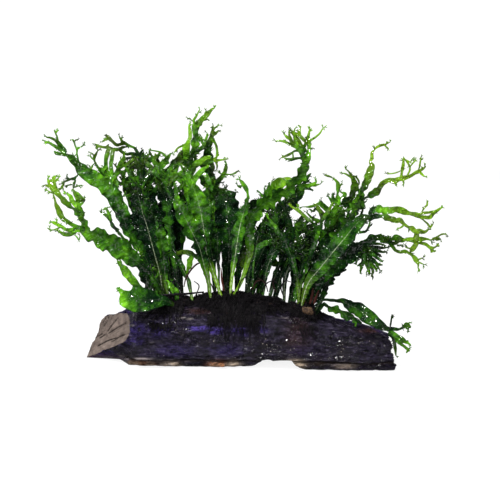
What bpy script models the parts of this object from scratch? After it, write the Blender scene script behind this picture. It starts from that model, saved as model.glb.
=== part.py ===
"""Java fern on driftwood: a dark log that carries three clumps of crested fern fronds.

Metres, +Z up, +X along the log, the near side faces -Y. The origin is on the underside of the log.
Outlines are given as points of the 500 x 500 frontal picture and set at a depth in millimetres.
"""

import math

import bmesh
import bpy
import numpy as np
from mathutils import Vector
from mathutils.bvhtree import BVHTree

# Driving dimensions, metres
PIXEL = 0.000645  # one picture point at the log
VIEW_DISTANCE = 0.9
VIEW_TILT = math.radians(8.0)
AIM = Vector((0.00645, 0.0, 0.0726))
LOG_LEFT = -103.0  # millimetres, like the log's tables below
LOG_RIGHT = 98.5
FROND_THICKNESS = 0.0007
GAP = 0.00035
MM = 0.001

GREEN = (0.06, 0.22, 0.03)
DARK_GREEN = (0.02, 0.08, 0.02)
WOOD = (0.022, 0.016, 0.03)
ROOT = (0.012, 0.009, 0.011)

for old in list(bpy.data.objects):
    bpy.data.objects.remove(old, do_unlink=True)
model = bpy.data.collections.new("java_fern_on_driftwood")
bpy.context.scene.collection.children.link(model)


def material(name, colour, roughness):
    made = bpy.data.materials.new(name)
    made.use_nodes = True
    shader = made.node_tree.nodes["Principled BSDF"]
    shader.inputs["Base Color"].default_value = (*colour, 1.0)
    shader.inputs["Roughness"].default_value = roughness
    shader.inputs["Metallic"].default_value = 0.0
    return made


def add(name, vertices, faces, colour, roughness):
    """A smooth-shaded mesh object with a material of its own."""
    mesh = bpy.data.meshes.new(name)
    mesh.from_pydata([tuple(v) for v in vertices], [], faces)
    mesh.update()
    mesh.polygons.foreach_set("use_smooth", [True] * len(mesh.polygons))
    piece = bpy.data.objects.new(name, mesh)
    piece.data.materials.append(material(name, colour, roughness))
    model.objects.link(piece)
    return piece


def outward(piece):
    """Turns every face of a closed mesh to point outwards."""
    work = bmesh.new()
    work.from_mesh(piece.data)
    bmesh.ops.recalc_face_normals(work, faces=work.faces)
    work.to_mesh(piece.data)
    work.free()


def seen_at(px, py, depth):
    """The point that the picture shows at px, py, this many millimetres behind the log's middle."""
    across = (px - 250) * PIXEL
    up = (250 - py) * PIXEL
    cos, sin = math.cos(VIEW_TILT), math.sin(VIEW_TILT)
    run = VIEW_DISTANCE * cos + up * sin
    drop = -VIEW_DISTANCE * sin + up * cos
    steps = (depth * MM + VIEW_DISTANCE * cos) / run
    return Vector((AIM.x + steps * across, depth * MM, AIM.z + VIEW_DISTANCE * sin + steps * drop))


# Driftwood

# x, top, front, back in millimetres along the log
LOG_PROFILE = (
    (-103, 32.0, 21.5, 20.0),
    (-84, 34.0, 22.5, 21.0),
    (-68, 36.0, 23.0, 22.5),
    (-52, 38.0, 23.0, 23.0),
    (-36, 39.5, 24.0, 23.5),
    (-20, 40.0, 24.5, 23.0),
    (-4, 39.5, 25.0, 22.5),
    (12, 38.5, 25.5, 22.0),
    (28, 36.0, 27.0, 21.0),
    (44, 33.0, 29.0, 20.0),
    (60, 29.0, 31.0, 18.5),
    (76, 25.0, 32.5, 17.0),
    (90, 21.5, 33.0, 15.5),
    (98.5, 19.0, 32.0, 14.0),
)
# across (front -1, back 1) and up (0 to 1) around the log, from the near foot over the top
LOG_SECTION = (
    (-0.76, 0.0),
    (-1.0, 0.13),
    (-1.0, 0.22),
    (-0.91, 0.29),
    (-0.89, 0.48),
    (-0.86, 0.68),
    (-0.76, 0.84),
    (-0.56, 0.95),
    (-0.28, 1.0),
    (0.02, 0.99),
    (0.32, 0.93),
    (0.62, 0.84),
    (0.84, 0.68),
    (0.97, 0.46),
    (1.0, 0.22),
    (0.93, 0.0),
    (0.56, 0.0),
    (0.2, 0.0),
    (-0.2, 0.0),
    (-0.5, 0.0),
)
LOG_STEPS = 34


def along(x, column):
    return float(np.interp(x, [row[0] for row in LOG_PROFILE], [row[column] for row in LOG_PROFILE]))


def hollow(x):
    """Height of the underside above the ground, millimetres."""
    arch = 7.0 * math.exp(-(((x - 24) / 12.0) ** 4)) + 2.5 * math.exp(-(((x - 56) / 5.0) ** 4))
    arch += max(0.0, (-80.0 - x) * 0.28)
    return arch if arch > 0.15 else 0.0


def log_mesh():
    vertices, faces = [], []
    count = len(LOG_SECTION)
    for i in range(LOG_STEPS + 1):
        x = LOG_LEFT + (LOG_RIGHT - LOG_LEFT) * i / LOG_STEPS
        # the sawn left end leans: its foot and its far edge stand out, its near side is hollowed
        lean = max(0.0, 1.0 - (x - LOG_LEFT) / 38.0)
        top, front, back = (along(x, c) for c in (1, 2, 3))
        for k, (side, up) in enumerate(LOG_SECTION):
            y = side * (front if side < 0 else back)
            z = up * top
            if up > 0:
                wave = 0.9 * math.sin(0.13 * x + 1.9 * k) + 0.5 * math.sin(0.31 * x + 4.1 * k)
                z += wave * (0.5 + up * 0.5) * 0.8
                y += 0.8 * wave * side
            else:
                z = hollow(x)
            if side < 0:
                y *= 1.0 - 0.6 * lean**2 * max(0.0, 0.66 - up)
            shift = lean * (0.42 * z + 0.36 * (20 - y))
            # the right end is broken: ragged by a millimetre or two
            rough = max(0.0, 1.0 - (LOG_RIGHT - x) / 14.0)
            shift += rough * (1.6 * math.sin(2.3 * k) - 1.2 - 0.10 * z)
            vertices.append((x * MM + shift * MM, y * MM, max(z, 0.0) * MM))
    for i in range(LOG_STEPS):
        for k in range(count):
            a, b = i * count + k, i * count + (k + 1) % count
            faces += [(a, b, b + count), (a, b + count, a + count)]
    # each end is a fan from a point on its foot
    for k in range(1, count - 1):
        last = LOG_STEPS * count
        faces += [(0, k + 1, k), (last, last + k, last + k + 1)]
    return vertices, faces


log = add("driftwood", *log_mesh(), WOOD, 0.3)
outward(log)

# the log again, 0.3 mm larger all round, cuts the undersides of what lies on it
cutters = bpy.data.collections.new("cutters")
bpy.context.scene.collection.children.link(cutters)
log_cutter = bpy.data.objects.new("log_cutter", log.data.copy())
cutters.objects.link(log_cutter)
log_cutter.hide_render = True
log_cutter.display_type = "WIRE"
for vertex in log_cutter.data.vertices:
    vertex.co += vertex.normal * 0.0003


def surface_of(*pieces):
    """Trees for the distance to, and the height of, finished pieces."""
    return [BVHTree.FromPolygons([p.matrix_world @ v.co for v in p.data.vertices],
                                 [f.vertices for f in p.data.polygons]) for p in pieces]


log_tree = surface_of(log)[0]


def height_at(trees, x, y):
    best = None
    for tree in trees:
        hit = tree.ray_cast(Vector((x, y, 0.2)), Vector((0, 0, -1)))[0]
        if hit is not None and (best is None or hit.z > best):
            best = hit.z
    return best


# Rhizomes with their cushions of roots

# name: centre x, y, half length, half width, height, ridge waves, in millimetres
RHIZOMES = (
    ("rhizome_left", -47, -2, 15.5, 14.0, 3.6, 2.0),
    ("rhizome_centre", 0, -3, 29.0, 14.5, 4.6, 5.0),
    ("rhizome_right", 42, -5, 10.5, 13.0, 3.8, 1.5),
)


def cushion(cx, cy, half_x, half_y, height, waves):
    """A low mound over the log, thin at its rim, with its foot inside the wood."""
    rings, spokes = 4, 18 if half_x > 20 else 14
    top, bottom = [], []
    for r in range(rings + 1):
        for s in range(spokes if r else 1):
            angle = 2 * math.pi * s / spokes
            reach = (r / rings) ** 0.8
            ragged = 1.0 + 0.10 * math.sin(3 * angle + cx) + 0.07 * math.sin(5 * angle)
            x = (cx + half_x * reach * ragged * math.cos(angle)) * MM
            y = (cy + half_y * reach * ragged * math.sin(angle)) * MM
            ground = height_at([log_tree], x, y)
            crest = 0.85 + 0.25 * math.sin(waves * math.pi * (x / MM - cx) / half_x + 1)
            rise = (0.9 + height * crest * max(0.0, 1 - reach**2) ** 0.6) * MM
            bottom.append((x, y, ground - 0.002))
            top.append((x, y, ground + rise))
    count = len(top)
    faces = []
    for r in range(rings):
        for s in range(spokes):
            t = (s + 1) % spokes
            inner = [0, 0] if r == 0 else [1 + (r - 1) * spokes + s, 1 + (r - 1) * spokes + t]
            outer = [1 + r * spokes + s, 1 + r * spokes + t]
            ring = [inner[0], outer[0], outer[1]] + ([inner[1]] if r else [])
            faces.append(tuple(ring))
            faces.append(tuple(count + i for i in reversed(ring)))
            if r == rings - 1:
                faces.append((outer[0], count + outer[0], count + outer[1], outer[1]))
    return [Vector(v) - Vector((cx * MM, cy * MM, 0)) for v in top + bottom], faces


mounds, clumps = [], []
for name, *size in RHIZOMES:
    clump = bpy.data.objects.new(name.replace("rhizome", "clump"), None)
    model.objects.link(clump)
    clump.location = (size[0] * MM, size[1] * MM, 0)
    clump.empty_display_size = 0.02
    clumps.append(clump)
    mounds.append(add(name, *cushion(*size), ROOT, 0.6))
    mounds[-1].parent = clump
    outward(mounds[-1])
    trim = mounds[-1].modifiers.new("trim", "BOOLEAN")
    trim.operation = "DIFFERENCE"
    trim.solver = "EXACT"
    trim.object = log_cutter
bpy.context.view_layer.update()
ground_trees = surface_of(log, *mounds)

# Fronds
#
# Each frond: name, depth at its base, middle and tip in millimetres, turn of the blade in degrees,
# its middle line as picture points with the blade's width there, then its forks.
# A fork: where it leaves the line (a point's number, -1 the end), its own line, its last tips.
FRONDS = (
    # left clump
    ("frond_left_reach", (0, -12, -20), 25,
     "166,297,2 158,283,4 145,258,9 129,232,12 119,207,14 110,191,14 99,181,14 88,174,12 78,166,10 70,158,7 66,155,5",
     (-1, "61,148,4 57,140,2.5", "54,129 58,130"),
     (-1, "59,149,3 54,143,2", "46,137 46,141"),
     (-1, "60,154,3", "47,146 54,153"),
     (8.3, "77,150,1.6", "73,138 78,140 85,144"),
     (7.6, "76,176,3 71,180,2.5", "60,181 65,187")),
    ("frond_left_low", (-6, -24, -32), -20,
     "165,295,2 150,274,7 137,262,12 124,252,17 110,243,20 97,236,16 87,231,11 82,222,8 79,212,7",
     (-1, "71,207,7 63,199,6 57,193,5", "46,188 46,180 54,175 62,183"),
     (-1, "80,205,7 77,198,8 75,190,4", "78,174 83,185"),
     (6.3, "73,227,4 63,220,5 59,211,5", "54,197 62,207"),
     (5.3, "80,239,4 72,236,5 64,232,4", "47,228 53,222")),
    ("frond_left_lobe", (-8, -16, -23), 10,
     "152,299,2 143,292,5 133,281,8 125,271,9 120,264,6",
     (-1, "", "117,260 120,259")),
    ("frond_left_shelf", (-12, -25, -27), 30,
     "175,301,2 162,301,10 150,301,15 139,299,21 128,297,20 121,293,10",
     (-1, "", "118,288 122,287")),
    ("frond_left_dark", (2, 2, 3), -25,
     "164,293,2.5 161,277,10 155,255,20 151,240,24 147,225,25 143,212,22 139,196,16 136,184,9",
     (-1, "129,172,4 126,163,3", "117,158 124,151 131,155"),
     (-1, "137,170,4 138,161,3", "134,150 142,151"),
     (-1, "144,176,3", "152,168 148,160")),
    ("frond_left_curl", (-5, -14, -20), 15,
     "168,293,2 165,275,6 163,255,10 161,240,11 159,228,9",
     (-1, "", "155,217 160,219")),
    ("frond_crown_left", (6, 16, 24), 30,
     "172,290,2 166,262,6 158,235,12 151,208,13 147,185,11 143,168,8 139,155,6",
     (-1, "133,149,3 122,143,3", "105,135 102,142 119,136"),
     (-1, "131,153,3 120,149,2.5", "96,146 106,152"),
     (5.2, "150,158,2.5", "147,151 155,153")),
    ("frond_crown_lace", (5, 9, 14), -15,
     "168,292,2 150,262,5 136,238,9 126,218,12 118,198,12 112,182,10 108,172,7",
     (-1, "107,162,4 108,154,3", "104,148 112,149"),
     (-1, "115,163,4 118,156,3", "117,149 123,151"),
     (-1, "99,170,2 95,162,2", "91,156 95,152"),
     (-1, "96,173,1.5", "89,165 91,171")),
    ("frond_left_finger", (-3, -18, -25), -30,
     "160,293,1.5 146,272,4 134,254,5 125,240,5 118,229,5",
     (-1, "108,217,2.5", "100,212 103,208"),
     (-1, "113,217,2.5", "107,208 112,209")),
    ("frond_centre_left", (6, 22, 32), 20,
     "182,293,3 180,268,12 175,240,22 169,215,24 163,195,20 157,178,13",
     (-1, "148,164,3", "141,151 149,152"),
     (-1, "157,163,3", "151,149 162,151"),
     (-1, "165,167,3", "167,155 173,160")),
    ("frond_back_left", (9, 32, 46), -30,
     "170,292,2.5 159,262,12 149,232,18 141,208,16 134,192,11",
     (-1, "122,174,3", "113,166 119,160"),
     (-1, "132,174,3", "129,161 138,163")),
    ("frond_back_left_low", (8, 26, 40), 22,
     "160,292,2.5 152,272,9 146,254,11 140,241,10",
     (-1, "", "129,226 135,221 142,226")),
    ("frond_left_young", (-9, -12, -13), 10,
     "177,297,1.5 175,291,5 172,286,5",
     (-1, "", "168,280 171,281")),
    ("frond_crown_middle", (4, 9, 12), -20,
     "186,292,2.5 179,262,7 173,235,10 170,210,12 168,190,12 166,176,9",
     (-1, "160,166,3 157,158,2.5", "150,149 146,155 158,150"),
     (-1, "168,165,3", "163,154 170,153 175,158")),
    ("frond_crown_fill", (9, 19, 21), 20,
     "176,291,2.5 158,262,7 146,238,10 138,214,11 131,196,10 124,183,8",
     (-1, "117,175,4 112,167,3", "106,160 113,159"),
     (-1, "124,172,4 123,165,4", "119,158 127,157"),
     (-1, "133,174,3", "131,163 139,166")),
    ("frond_rear_left", (8, 40, 56), 15,
     "178,291,2.5 173,262,9 171,238,13 172,218,11",
     (-1, "", "166,204 173,200 179,206")),
    # centre clump
    ("frond_top_crest", (4, 6, 10), 20,
     "205,294,2.5 202,262,8 197,235,12 192,208,13 188,185,12 187,166,14 192,152,14 195,138,10",
     (-1, "194,124,4", "187,117 200,109"),
     (-1, "202,123,4 207,115,3", "215,108 206,109"),
     (5.2, "178,156,3", "170,153 176,149"),
     (5.9, "182,140,2", "183,133 190,128")),
    ("frond_top_right", (8, 16, 24), -25,
     "214,292,2.5 214,262,9 213,235,14 211,208,14 208,185,13 206,166,13 207,152,9",
     (-1, "210,141,5 212,133,3", "213,125 219,125 218,132"),
     (-1, "204,142,3", "201,137 206,134"),
     (-1, "215,149,3 217,157,2.5", "217,168 228,159")),
    ("frond_front_left", (-7, -22, -30), 25,
     "211,300,2 208,280,5 204,266,8 199,248,13 192,233,17 186,220,16 180,208,12 175,199,7",
     (-1, "169,191,3", "163,187 167,182"),
     (-1, "176,190,3", "174,181 180,183")),
    ("frond_front_bright", (-7, -18, -26), -15,
     "222,300,2.5 217,283,6 211,264,8 207,252,9 205,236,13 202,218,18 199,204,18 195,192,13 192,183,9",
     (-1, "185,174,5 182,166,4", "177,160 184,156"),
     (-1, "193,172,5 195,163,4", "190,154 200,154"),
     (-1, "201,176,4", "205,167 209,174")),
    ("frond_centre_dark", (0, 4, 6), 25,
     "226,294,2.5 229,272,11 230,250,19 229,228,24 226,208,24 222,196,18 217,188,10",
     (-1, "220,180,4 225,174,4", "227,164 239,171"),
     (-1, "211,182,4", "205,178 211,173")),
    ("frond_centre_narrow", (-4, -10, -13), -20,
     "230,293,2 233,270,5 236,250,9 239,232,12 243,216,11 247,204,7 249,196,3",
     (-1, "245,187,2", "240,179 237,185")),
    ("frond_arch_right", (-6, -6, -12), 20,
     "231,304,2.5 240,284,4 247,264,8 250,248,11 248,232,14 250,219,14 258,208,14 270,199,15 282,192,16"
     " 294,182,12 303,170,10 305,160,9",
     (-1, "296,152,4", "282,159 276,141"),
     (-1, "300,147,4 296,138,3", "286,133 290,129"),
     (-1, "305,146,4 304,138,3", "300,126 309,128"),
     (-1, "310,148,3 312,141,2.5", "323,128"),
     (8.7, "304,186,5", "315,179 320,186")),
    ("frond_arch_back", (3, 12, 16), -30,
     "246,293,2.5 256,268,8 266,245,12 276,225,14 286,208,14 296,194,12 303,184,8",
     (-1, "", "311,173 312,189")),
    ("frond_small_oval", (-2, -8, -12), 0,
     "253,292,1.5 253,272,1.5 255,256,2 259,247,6 265,243,7",
     (-1, "", "271,240 270,244")),
    ("frond_centre_young", (-4, -8, -10), 15,
     "193,294,2 188,281,2.5 182,268,5 178,259,6",
     (-1, "", "173,250 177,249")),
    ("frond_centre_fill", (5, 10, 12), 30,
     "218,292,2.5 222,266,8 224,240,12 225,216,11 228,200,9",
     (-1, "", "226,187 236,192")),
    ("frond_dark_low", (0, -2, 0), 15,
     "262,292,2 266,272,6 273,254,9 281,241,7",
     (-1, "", "290,231 287,238")),
    ("frond_dark_high", (10, 18, 22), -20,
     "252,292,2 254,266,6 257,244,9 262,226,8",
     (-1, "", "270,211 266,214")),
    ("frond_dark_right", (3, 0, -2), 10,
     "284,298,2 285,280,5 290,263,8 298,250,6",
     (-1, "", "306,241 301,240")),
    ("frond_rear_centre", (8, 42, 58), -15,
     "226,291,2.5 231,264,10 238,240,15 243,222,13",
     (-1, "", "240,208 246,205 252,211")),
    ("frond_back_centre", (8, 30, 44), 25,
     "236,292,2.5 238,262,11 242,236,18 250,214,18 261,202,14",
     (-1, "275,190,3", "288,184 281,181"),
     (-1, "269,190,3", "270,182 264,187")),
    ("frond_back_low", (7, 24, 34), -20,
     "258,292,2.5 265,268,9 276,248,13 290,236,13 302,228,9",
     (-1, "", "318,222 314,216 318,230")),
    ("frond_back_top", (9, 32, 48), 15,
     "198,292,2.5 191,262,11 185,232,16 183,205,15 186,184,11",
     (-1, "184,168,4", "177,158 187,154"),
     (-1, "194,168,4", "194,152 204,158")),
    # right clump
    ("frond_narrow_right", (0, -6, -8), -15,
     "300,300,2 297,280,4 294,265,6 289,250,8 283,236,8 275,227,6",
     (-1, "", "263,221 267,217")),
    ("frond_right_fork", (-7, -18, -24), 10,
     "298,305,2.5 300,288,5 305,272,5 311,252,6 316,240,6 319,230,5",
     (-1, "312,221,4 303,213,4", "288,204 291,210 298,205"),
     (-1, "323,221,3", "321,212 329,214")),
    ("frond_right_tall", (2, 9, 14), 25,
     "308,301,2.5 317,280,10 328,258,15 339,236,19 349,218,18 357,204,14 362,196,10",
     (-1, "366,182,9 372,165,8 373,156,3 376,149,3", "390,142 388,149"),
     (-1, "371,193,9 380,187,8 391,180,6 402,179,4", "405,158 411,160"),
     (-1, "372,198,4 396,186,3 412,177,4", "426,167 424,178")),
    ("frond_right_lacy", (6, 20, 28), -25,
     "306,299,2.5 312,278,9 320,256,14 328,236,16 334,220,16 340,208,14",
     (4.62, "324,204,4", "315,196 323,192"),
     (-1, "337,194,5 338,184,2", "325,174 340,180"),
     (-1, "350,196,5 353,185,6", "345,169 357,178"),
     (4.2, "318,214,4", "305,206 306,213")),
    ("frond_right_midrib", (-9, -26, -33), -20,
     "301,304,2.5 308,284,8 320,268,14 333,252,17 345,238,17 356,225,14 364,219,10 371,216,7",
     (-1, "380,210,8 392,211,8 405,213,6 418,216,4 431,217,3", "443,207"),
     (-1, "387,219,7 400,223,8 412,229,5", "429,229 415,239")),
    ("frond_right_low", (-5, -16, -21), 20,
     "304,304,2.5 318,284,8 332,266,14 345,254,17 358,244,15 371,238,12 379,235,10 389,238,9 398,239,7 408,240,6",
     (-1, "419,240,4 433,238,3", "447,234 441,241"),
     (-1, "424,245,3", "439,245 431,253"),
     (-1, "413,247,3", "411,252"),
     (7.4, "399,249,3 408,254,3", "419,270 422,260")),
    ("frond_right_fan", (-3, -6, -5), -15,
     "306,300,2.5 318,284,12 331,268,18 345,257,20 356,250,15 363,251,11 366,255,9",
     (-1, "363,260,4", "356,264 360,274"),
     (-1, "369,262,4", "368,276 374,275"),
     (-1, "375,258,4", "381,271 384,264"),
     (-1, "377,251,3", "387,255 388,248")),
    ("frond_right_droop", (-12, -24, -32), 15,
     "314,304,2.5 325,301,4 335,300,6 345,302,9 355,307,13 366,315,15 377,323,11 385,329,8 390,332,6",
     (-1, "401,328,3", "411,323 411,328"),
     (-1, "400,340,4", "411,344 406,351"),
     (-1, "394,344,3", "396,355"),
     (6.9, "391,321,1.6", "392,314")),
    ("frond_right_droop_low", (-14, -31, -34), 25,
     "315,306,2 326,307,5 334,310,8 342,315,10 350,319,8",
     (-1, "", "359,321 357,325")),
    ("frond_right_dark", (-1, 1, 2), 20,
     "309,301,2.5 322,276,9 334,256,14 346,240,14 356,230,10",
     (-1, "", "366,222 363,229")),
    ("frond_rear_right", (9, 43, 60), -15,
     "312,299,2.5 321,276,10 329,257,15 335,243,12",
     (-1, "", "334,231 340,228 345,236")),
    ("frond_rear_far_right", (6, 30, 44), 20,
     "314,300,2.5 328,282,9 340,265,13 351,251,10",
     (-1, "", "358,243 361,249")),
    ("frond_back_right", (8, 32, 46), 20,
     "308,299,2.5 316,276,11 328,254,16 338,236,15 346,222,10",
     (-1, "", "359,208 351,205 343,209")),
    ("frond_back_right_low", (8, 14, 19), -25,
     "302,299,2 300,280,9 303,258,14 308,240,13",
     (-1, "", "305,221 313,218 320,225")),
)
LEANS = (0.40, -0.30, 0.15, -0.45)


def dots(text):
    return [tuple(float(n) for n in part.split(",")) for part in text.split()]


def tapered(lengths, depths):
    """Depth at each share of the length through base, middle and tip values."""
    base, middle, tip = depths
    return [base * (1 - s) ** 2 + 2 * (2 * middle - (base + tip) / 2) * s * (1 - s) + tip * s * s
            for s in lengths]


def shares(points):
    run = [0.0]
    for a, b in zip(points, points[1:]):
        run.append(run[-1] + math.dist(a[:2], b[:2]))
    return [r / run[-1] for r in run]


def side_of(line, i, turn):
    """Unit vector across the ribbon at point i, turned out of the picture by this angle."""
    a, b = line[max(i - 1, 0)], line[min(i + 1, len(line) - 1)]
    tangent = (b - a).normalized()
    flat = tangent.cross(Vector((0, -1, 0))).normalized()
    return math.cos(turn) * flat + math.sin(turn) * tangent.cross(flat)


def clear_of_ground(point, room):
    for tree in ground_trees:
        near, normal, _, distance = tree.find_nearest(point)
        if distance < room or (point - near).dot(normal) < 0:
            return False
    return True


def rooted(line, widths):
    """Drops the line's foot onto the cushion and starts it just clear of it."""
    foot = line[0]
    line = [Vector((foot.x, foot.y, height_at(ground_trees, foot.x, foot.y) - 0.001))] + line[1:]
    rows = []
    for i in range(len(line) - 1):
        rows += [(line[i].lerp(line[i + 1], s / 24), widths[i] * (1 - s / 24) + widths[i + 1] * s / 24, i)
                 for s in range(24)]
    start = 0
    for n, (point, width, i) in enumerate(rows):
        if i < 2 and not clear_of_ground(point, GAP + 0.0005 + 0.3 * width * PIXEL):
            start = n + 1
    point, width, i = rows[start]
    return [point] + line[i + 1:], [width] + widths[i + 1:], i


def slim_down(kids):
    """Keeps each fork narrower than the room that its neighbours leave it."""
    for kid in kids:
        others = [other for other in kids if other is not kid]
        for i, width in enumerate(kid.get("widths") or []):
            for other in others:
                for a, b in zip([kid["start"]] + other["line"], other["line"]):
                    near = a + (b - a) * min(1, max(0, (kid["line"][i] - a).dot(b - a) / (b - a).length_squared))
                    kid["widths"][i] = min(kid["widths"][i], 0.9 * (kid["line"][i] - near).length / PIXEL)


class Ribbon:
    """The open surface of one frond, grown row by row."""

    def __init__(self):
        self.points, self.faces = [], []

    def point(self, place):
        self.points.append(place)
        return len(self.points) - 1

    def grow(self, left, right, line, widths, turn, tips, lean):
        """Rows of two points from the edge left-right along the line, then pointed tips."""
        for i, (centre, width) in enumerate(zip(line, widths)):
            if i == 0:
                continue
            reach = side_of(line, i, turn) * width * PIXEL / 2
            a, b = self.point(centre - reach), self.point(centre + reach)
            self.faces.append([left, right, b, a])
            left, right = a, b
        if tips:
            self.split(left, right, line, tips, turn, lean)

    def split(self, left, right, line, kids, turn, lean):
        """Shares the end edge between the forks or tips that leave it, left to right."""
        end = line[-1]
        forward = end - line[-2]
        across = side_of(line, len(line) - 1, 0.0)

        def bearing(kid):
            away = kid["line"][0] - end
            return math.atan2(away.dot(across), away.dot(forward.normalized()))

        kids = sorted(kids, key=bearing)
        for kid in kids:
            kid["start"] = end
        edge = [left]
        for n in range(1, len(kids)):
            s = n / len(kids)
            edge.append(self.point(self.points[left].lerp(self.points[right], s)))
        edge.append(right)
        if len(kids) > 1:
            last = self.faces[-1]
            spot = last.index(right)
            last[spot + 1:spot + 1] = edge[-2:0:-1]
        slim_down(kids)
        for n, kid in enumerate(kids):
            self.branch(edge[n], edge[n + 1], end, kid, turn, LEANS[n % 4] if lean is None else lean)

    def branch(self, left, right, start, kid, turn, lean):
        if kid["tips"] is None:
            tip = kid["line"][0]
            self.faces.append([left, right, self.point(tip + Vector((0, lean * (tip - start).length, 0)))])
            return
        # neighbours part in the picture first, and in depth from their first row on
        first = (kid["line"][0] - start).length if kid["line"] else 0.0
        line = [start]
        for place in kid["line"]:
            line.append(place + Vector((0, lean * ((place - start).length - first), 0)))
        drift = line[-1] - kid["line"][-1]
        tips = [{"line": [tip + drift], "tips": None} for tip in kid["tips"]]
        self.grow(left, right, line, [0.0] + kid["widths"], turn * 0.4, tips, None)


def fork(entry, depth):
    _, path, tips = entry
    path = dots(path)
    return {"line": [seen_at(x, y, depth) for x, y, _ in path], "widths": [w for _, _, w in path],
            "tips": [seen_at(x, y, depth) for x, y in dots(tips)]}


def frond(name, depths, turn, path, *forks):
    """One closed solid: stalk, blade and coarse crest of a frond."""
    path, turn = dots(path), math.radians(turn)
    depth = tapered(shares(path), depths)
    line = [seen_at(x, y, d) for (x, y, _), d in zip(path, depth)]
    widths = [w / math.cos(turn) for _, _, w in path]
    line, widths, dropped = rooted(line, widths)
    ribbon = Ribbon()
    across = side_of(line, 0, turn) * max(widths[0], 2.0) * PIXEL / 2
    ends, sides = [], []
    for entry in forks:
        if entry[0] == -1:
            ends.append(fork(entry, depth[-1]))
        else:
            at = entry[0] - dropped
            where = float(np.interp(entry[0], range(len(depth)), depth))
            sides.append((at, fork(entry, where)))
    # a side fork adds two close rows to the line, so that it grows from a short edge
    arms = [side_of(line, i, turn) * width * PIXEL / 2 for i, width in enumerate(widths)]
    rows = [(i, place, arm, None) for i, (place, arm) in enumerate(zip(line, arms))]
    for at, kid in sides:
        i = int(at)
        step = 2.6 * PIXEL / (line[i + 1] - line[i]).length
        for shift, owner in ((at - i, kid), (at - i + step, None)):
            rows.append((i + shift, line[i].lerp(line[i + 1], shift), arms[i].lerp(arms[i + 1], shift), owner))
    rows.sort(key=lambda row: row[0])
    line = [row[1] for row in rows]
    left, right = ribbon.point(line[0] - across), ribbon.point(line[0] + across)
    owner = None
    for i in range(1, len(rows)):
        reach = rows[i][2]
        a, b = ribbon.point(line[i] - reach), ribbon.point(line[i] + reach)
        ribbon.faces.append([left, right, b, a])
        if owner:
            away = (owner["line"] or owner["tips"])[0] - line[i]
            if away.dot(reach) < 0:
                ribbon.branch(left, a, line[i] - reach, owner, turn, -0.2)
            else:
                ribbon.branch(b, right, line[i] + reach, owner, turn, -0.2)
        left, right, owner = a, b, rows[i][3]
    kids = []
    for kid in ends:
        if kid["line"]:
            kids.append(kid)
        else:
            kids += [{"line": [tip], "tips": None} for tip in kid["tips"]]
    # the last full quad is the one that the end edge belongs to
    last = next(f for f in reversed(ribbon.faces) if right in f and left in f)
    ribbon.faces.remove(last)
    ribbon.faces.append(last)
    ribbon.split(left, right, line, kids, turn, None)
    foot = line[0]
    colour = DARK_GREEN if "back" in name else GREEN
    piece = add(name, [p - foot for p in ribbon.points], ribbon.faces, colour, 0.35)
    piece.parent = min(clumps, key=lambda clump: abs(clump.location.x - foot.x))
    piece.location = foot - piece.parent.location
    solid = piece.modifiers.new("thickness", "SOLIDIFY")
    solid.thickness = FROND_THICKNESS
    solid.offset = 0.0
    return piece


for row in FRONDS:
    frond(*row)
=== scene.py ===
"""Java fern on driftwood: a dark wet log that carries three clumps of crested fern fronds.

Metres, +Z up, +X along the log, the near side faces -Y. Middle lines are given as points of the 500 x 500
frontal picture with a width in picture points, and are set at a depth in millimetres behind the log's
middle.
"""

import math

import bpy
import numpy as np
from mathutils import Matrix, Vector
from mathutils.bvhtree import BVHTree


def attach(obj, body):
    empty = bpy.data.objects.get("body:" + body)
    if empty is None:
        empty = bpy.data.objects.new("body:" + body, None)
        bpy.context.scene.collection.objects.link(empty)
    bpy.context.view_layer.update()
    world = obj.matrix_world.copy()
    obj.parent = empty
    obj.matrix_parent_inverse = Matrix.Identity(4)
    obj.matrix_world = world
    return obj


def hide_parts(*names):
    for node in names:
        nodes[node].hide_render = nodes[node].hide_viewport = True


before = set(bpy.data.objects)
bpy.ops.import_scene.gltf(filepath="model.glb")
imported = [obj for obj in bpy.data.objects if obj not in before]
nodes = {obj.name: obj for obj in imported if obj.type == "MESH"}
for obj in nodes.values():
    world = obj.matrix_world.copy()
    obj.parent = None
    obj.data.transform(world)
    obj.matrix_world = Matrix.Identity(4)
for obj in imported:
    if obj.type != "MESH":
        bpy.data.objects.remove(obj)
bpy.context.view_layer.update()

MM = 0.001
PICTURE = 500  # points across the picture, and up
PIXEL = 0.000645  # one picture point at the log
DISTANCE = 0.9
TILT = math.radians(8.0)
COS, SIN = math.cos(TILT), math.sin(TILT)
AIM = np.array((0.00645, 0.0, 0.0726))
EYE = AIM + (0, -DISTANCE * COS, DISTANCE * SIN)
SENSOR = 36.0
LIT = (0, 0, 0.08)  # what the lamps point at
# name, place, side of the square, watts
LAMPS = (
    ("key", (-0.35, -0.62, 1.05), 0.12, 20.0),
    ("front", (-0.34, -1.0, 0.42), 0.05, 3.6),
    ("side", (0.42, -0.95, 0.30), 0.04, 1.6),
    ("spark_0", (-0.75, -0.75, 0.45), 0.03, 2.0),
    ("spark_1", (0.05, -1.05, 0.62), 0.03, 2.0),
    ("spark_2", (0.8, -0.6, 0.5), 0.03, 2.0),
    ("spark_3", (-0.15, -1.0, 0.95), 0.03, 2.0),
    ("spark_4", (-0.5, -0.95, 0.12), 0.03, 2.0),
    ("top", (0.35, 0.05, 1.15), 0.18, 9.0),
    ("rim", (-0.8, 0.7, 0.8), 0.30, 6.0),
)
FLOOR_RADIUS, FLOOR_SIDES, FLOOR_HEIGHT = 1.6, 64, -0.0002
WHITE = (1.0, 1.0, 1.0, 1.0)
FORWARD = (0.0, -1.0, 0.0)  # towards the camera
SKY = 0.2  # a height above all solids

# Shader helpers


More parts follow.
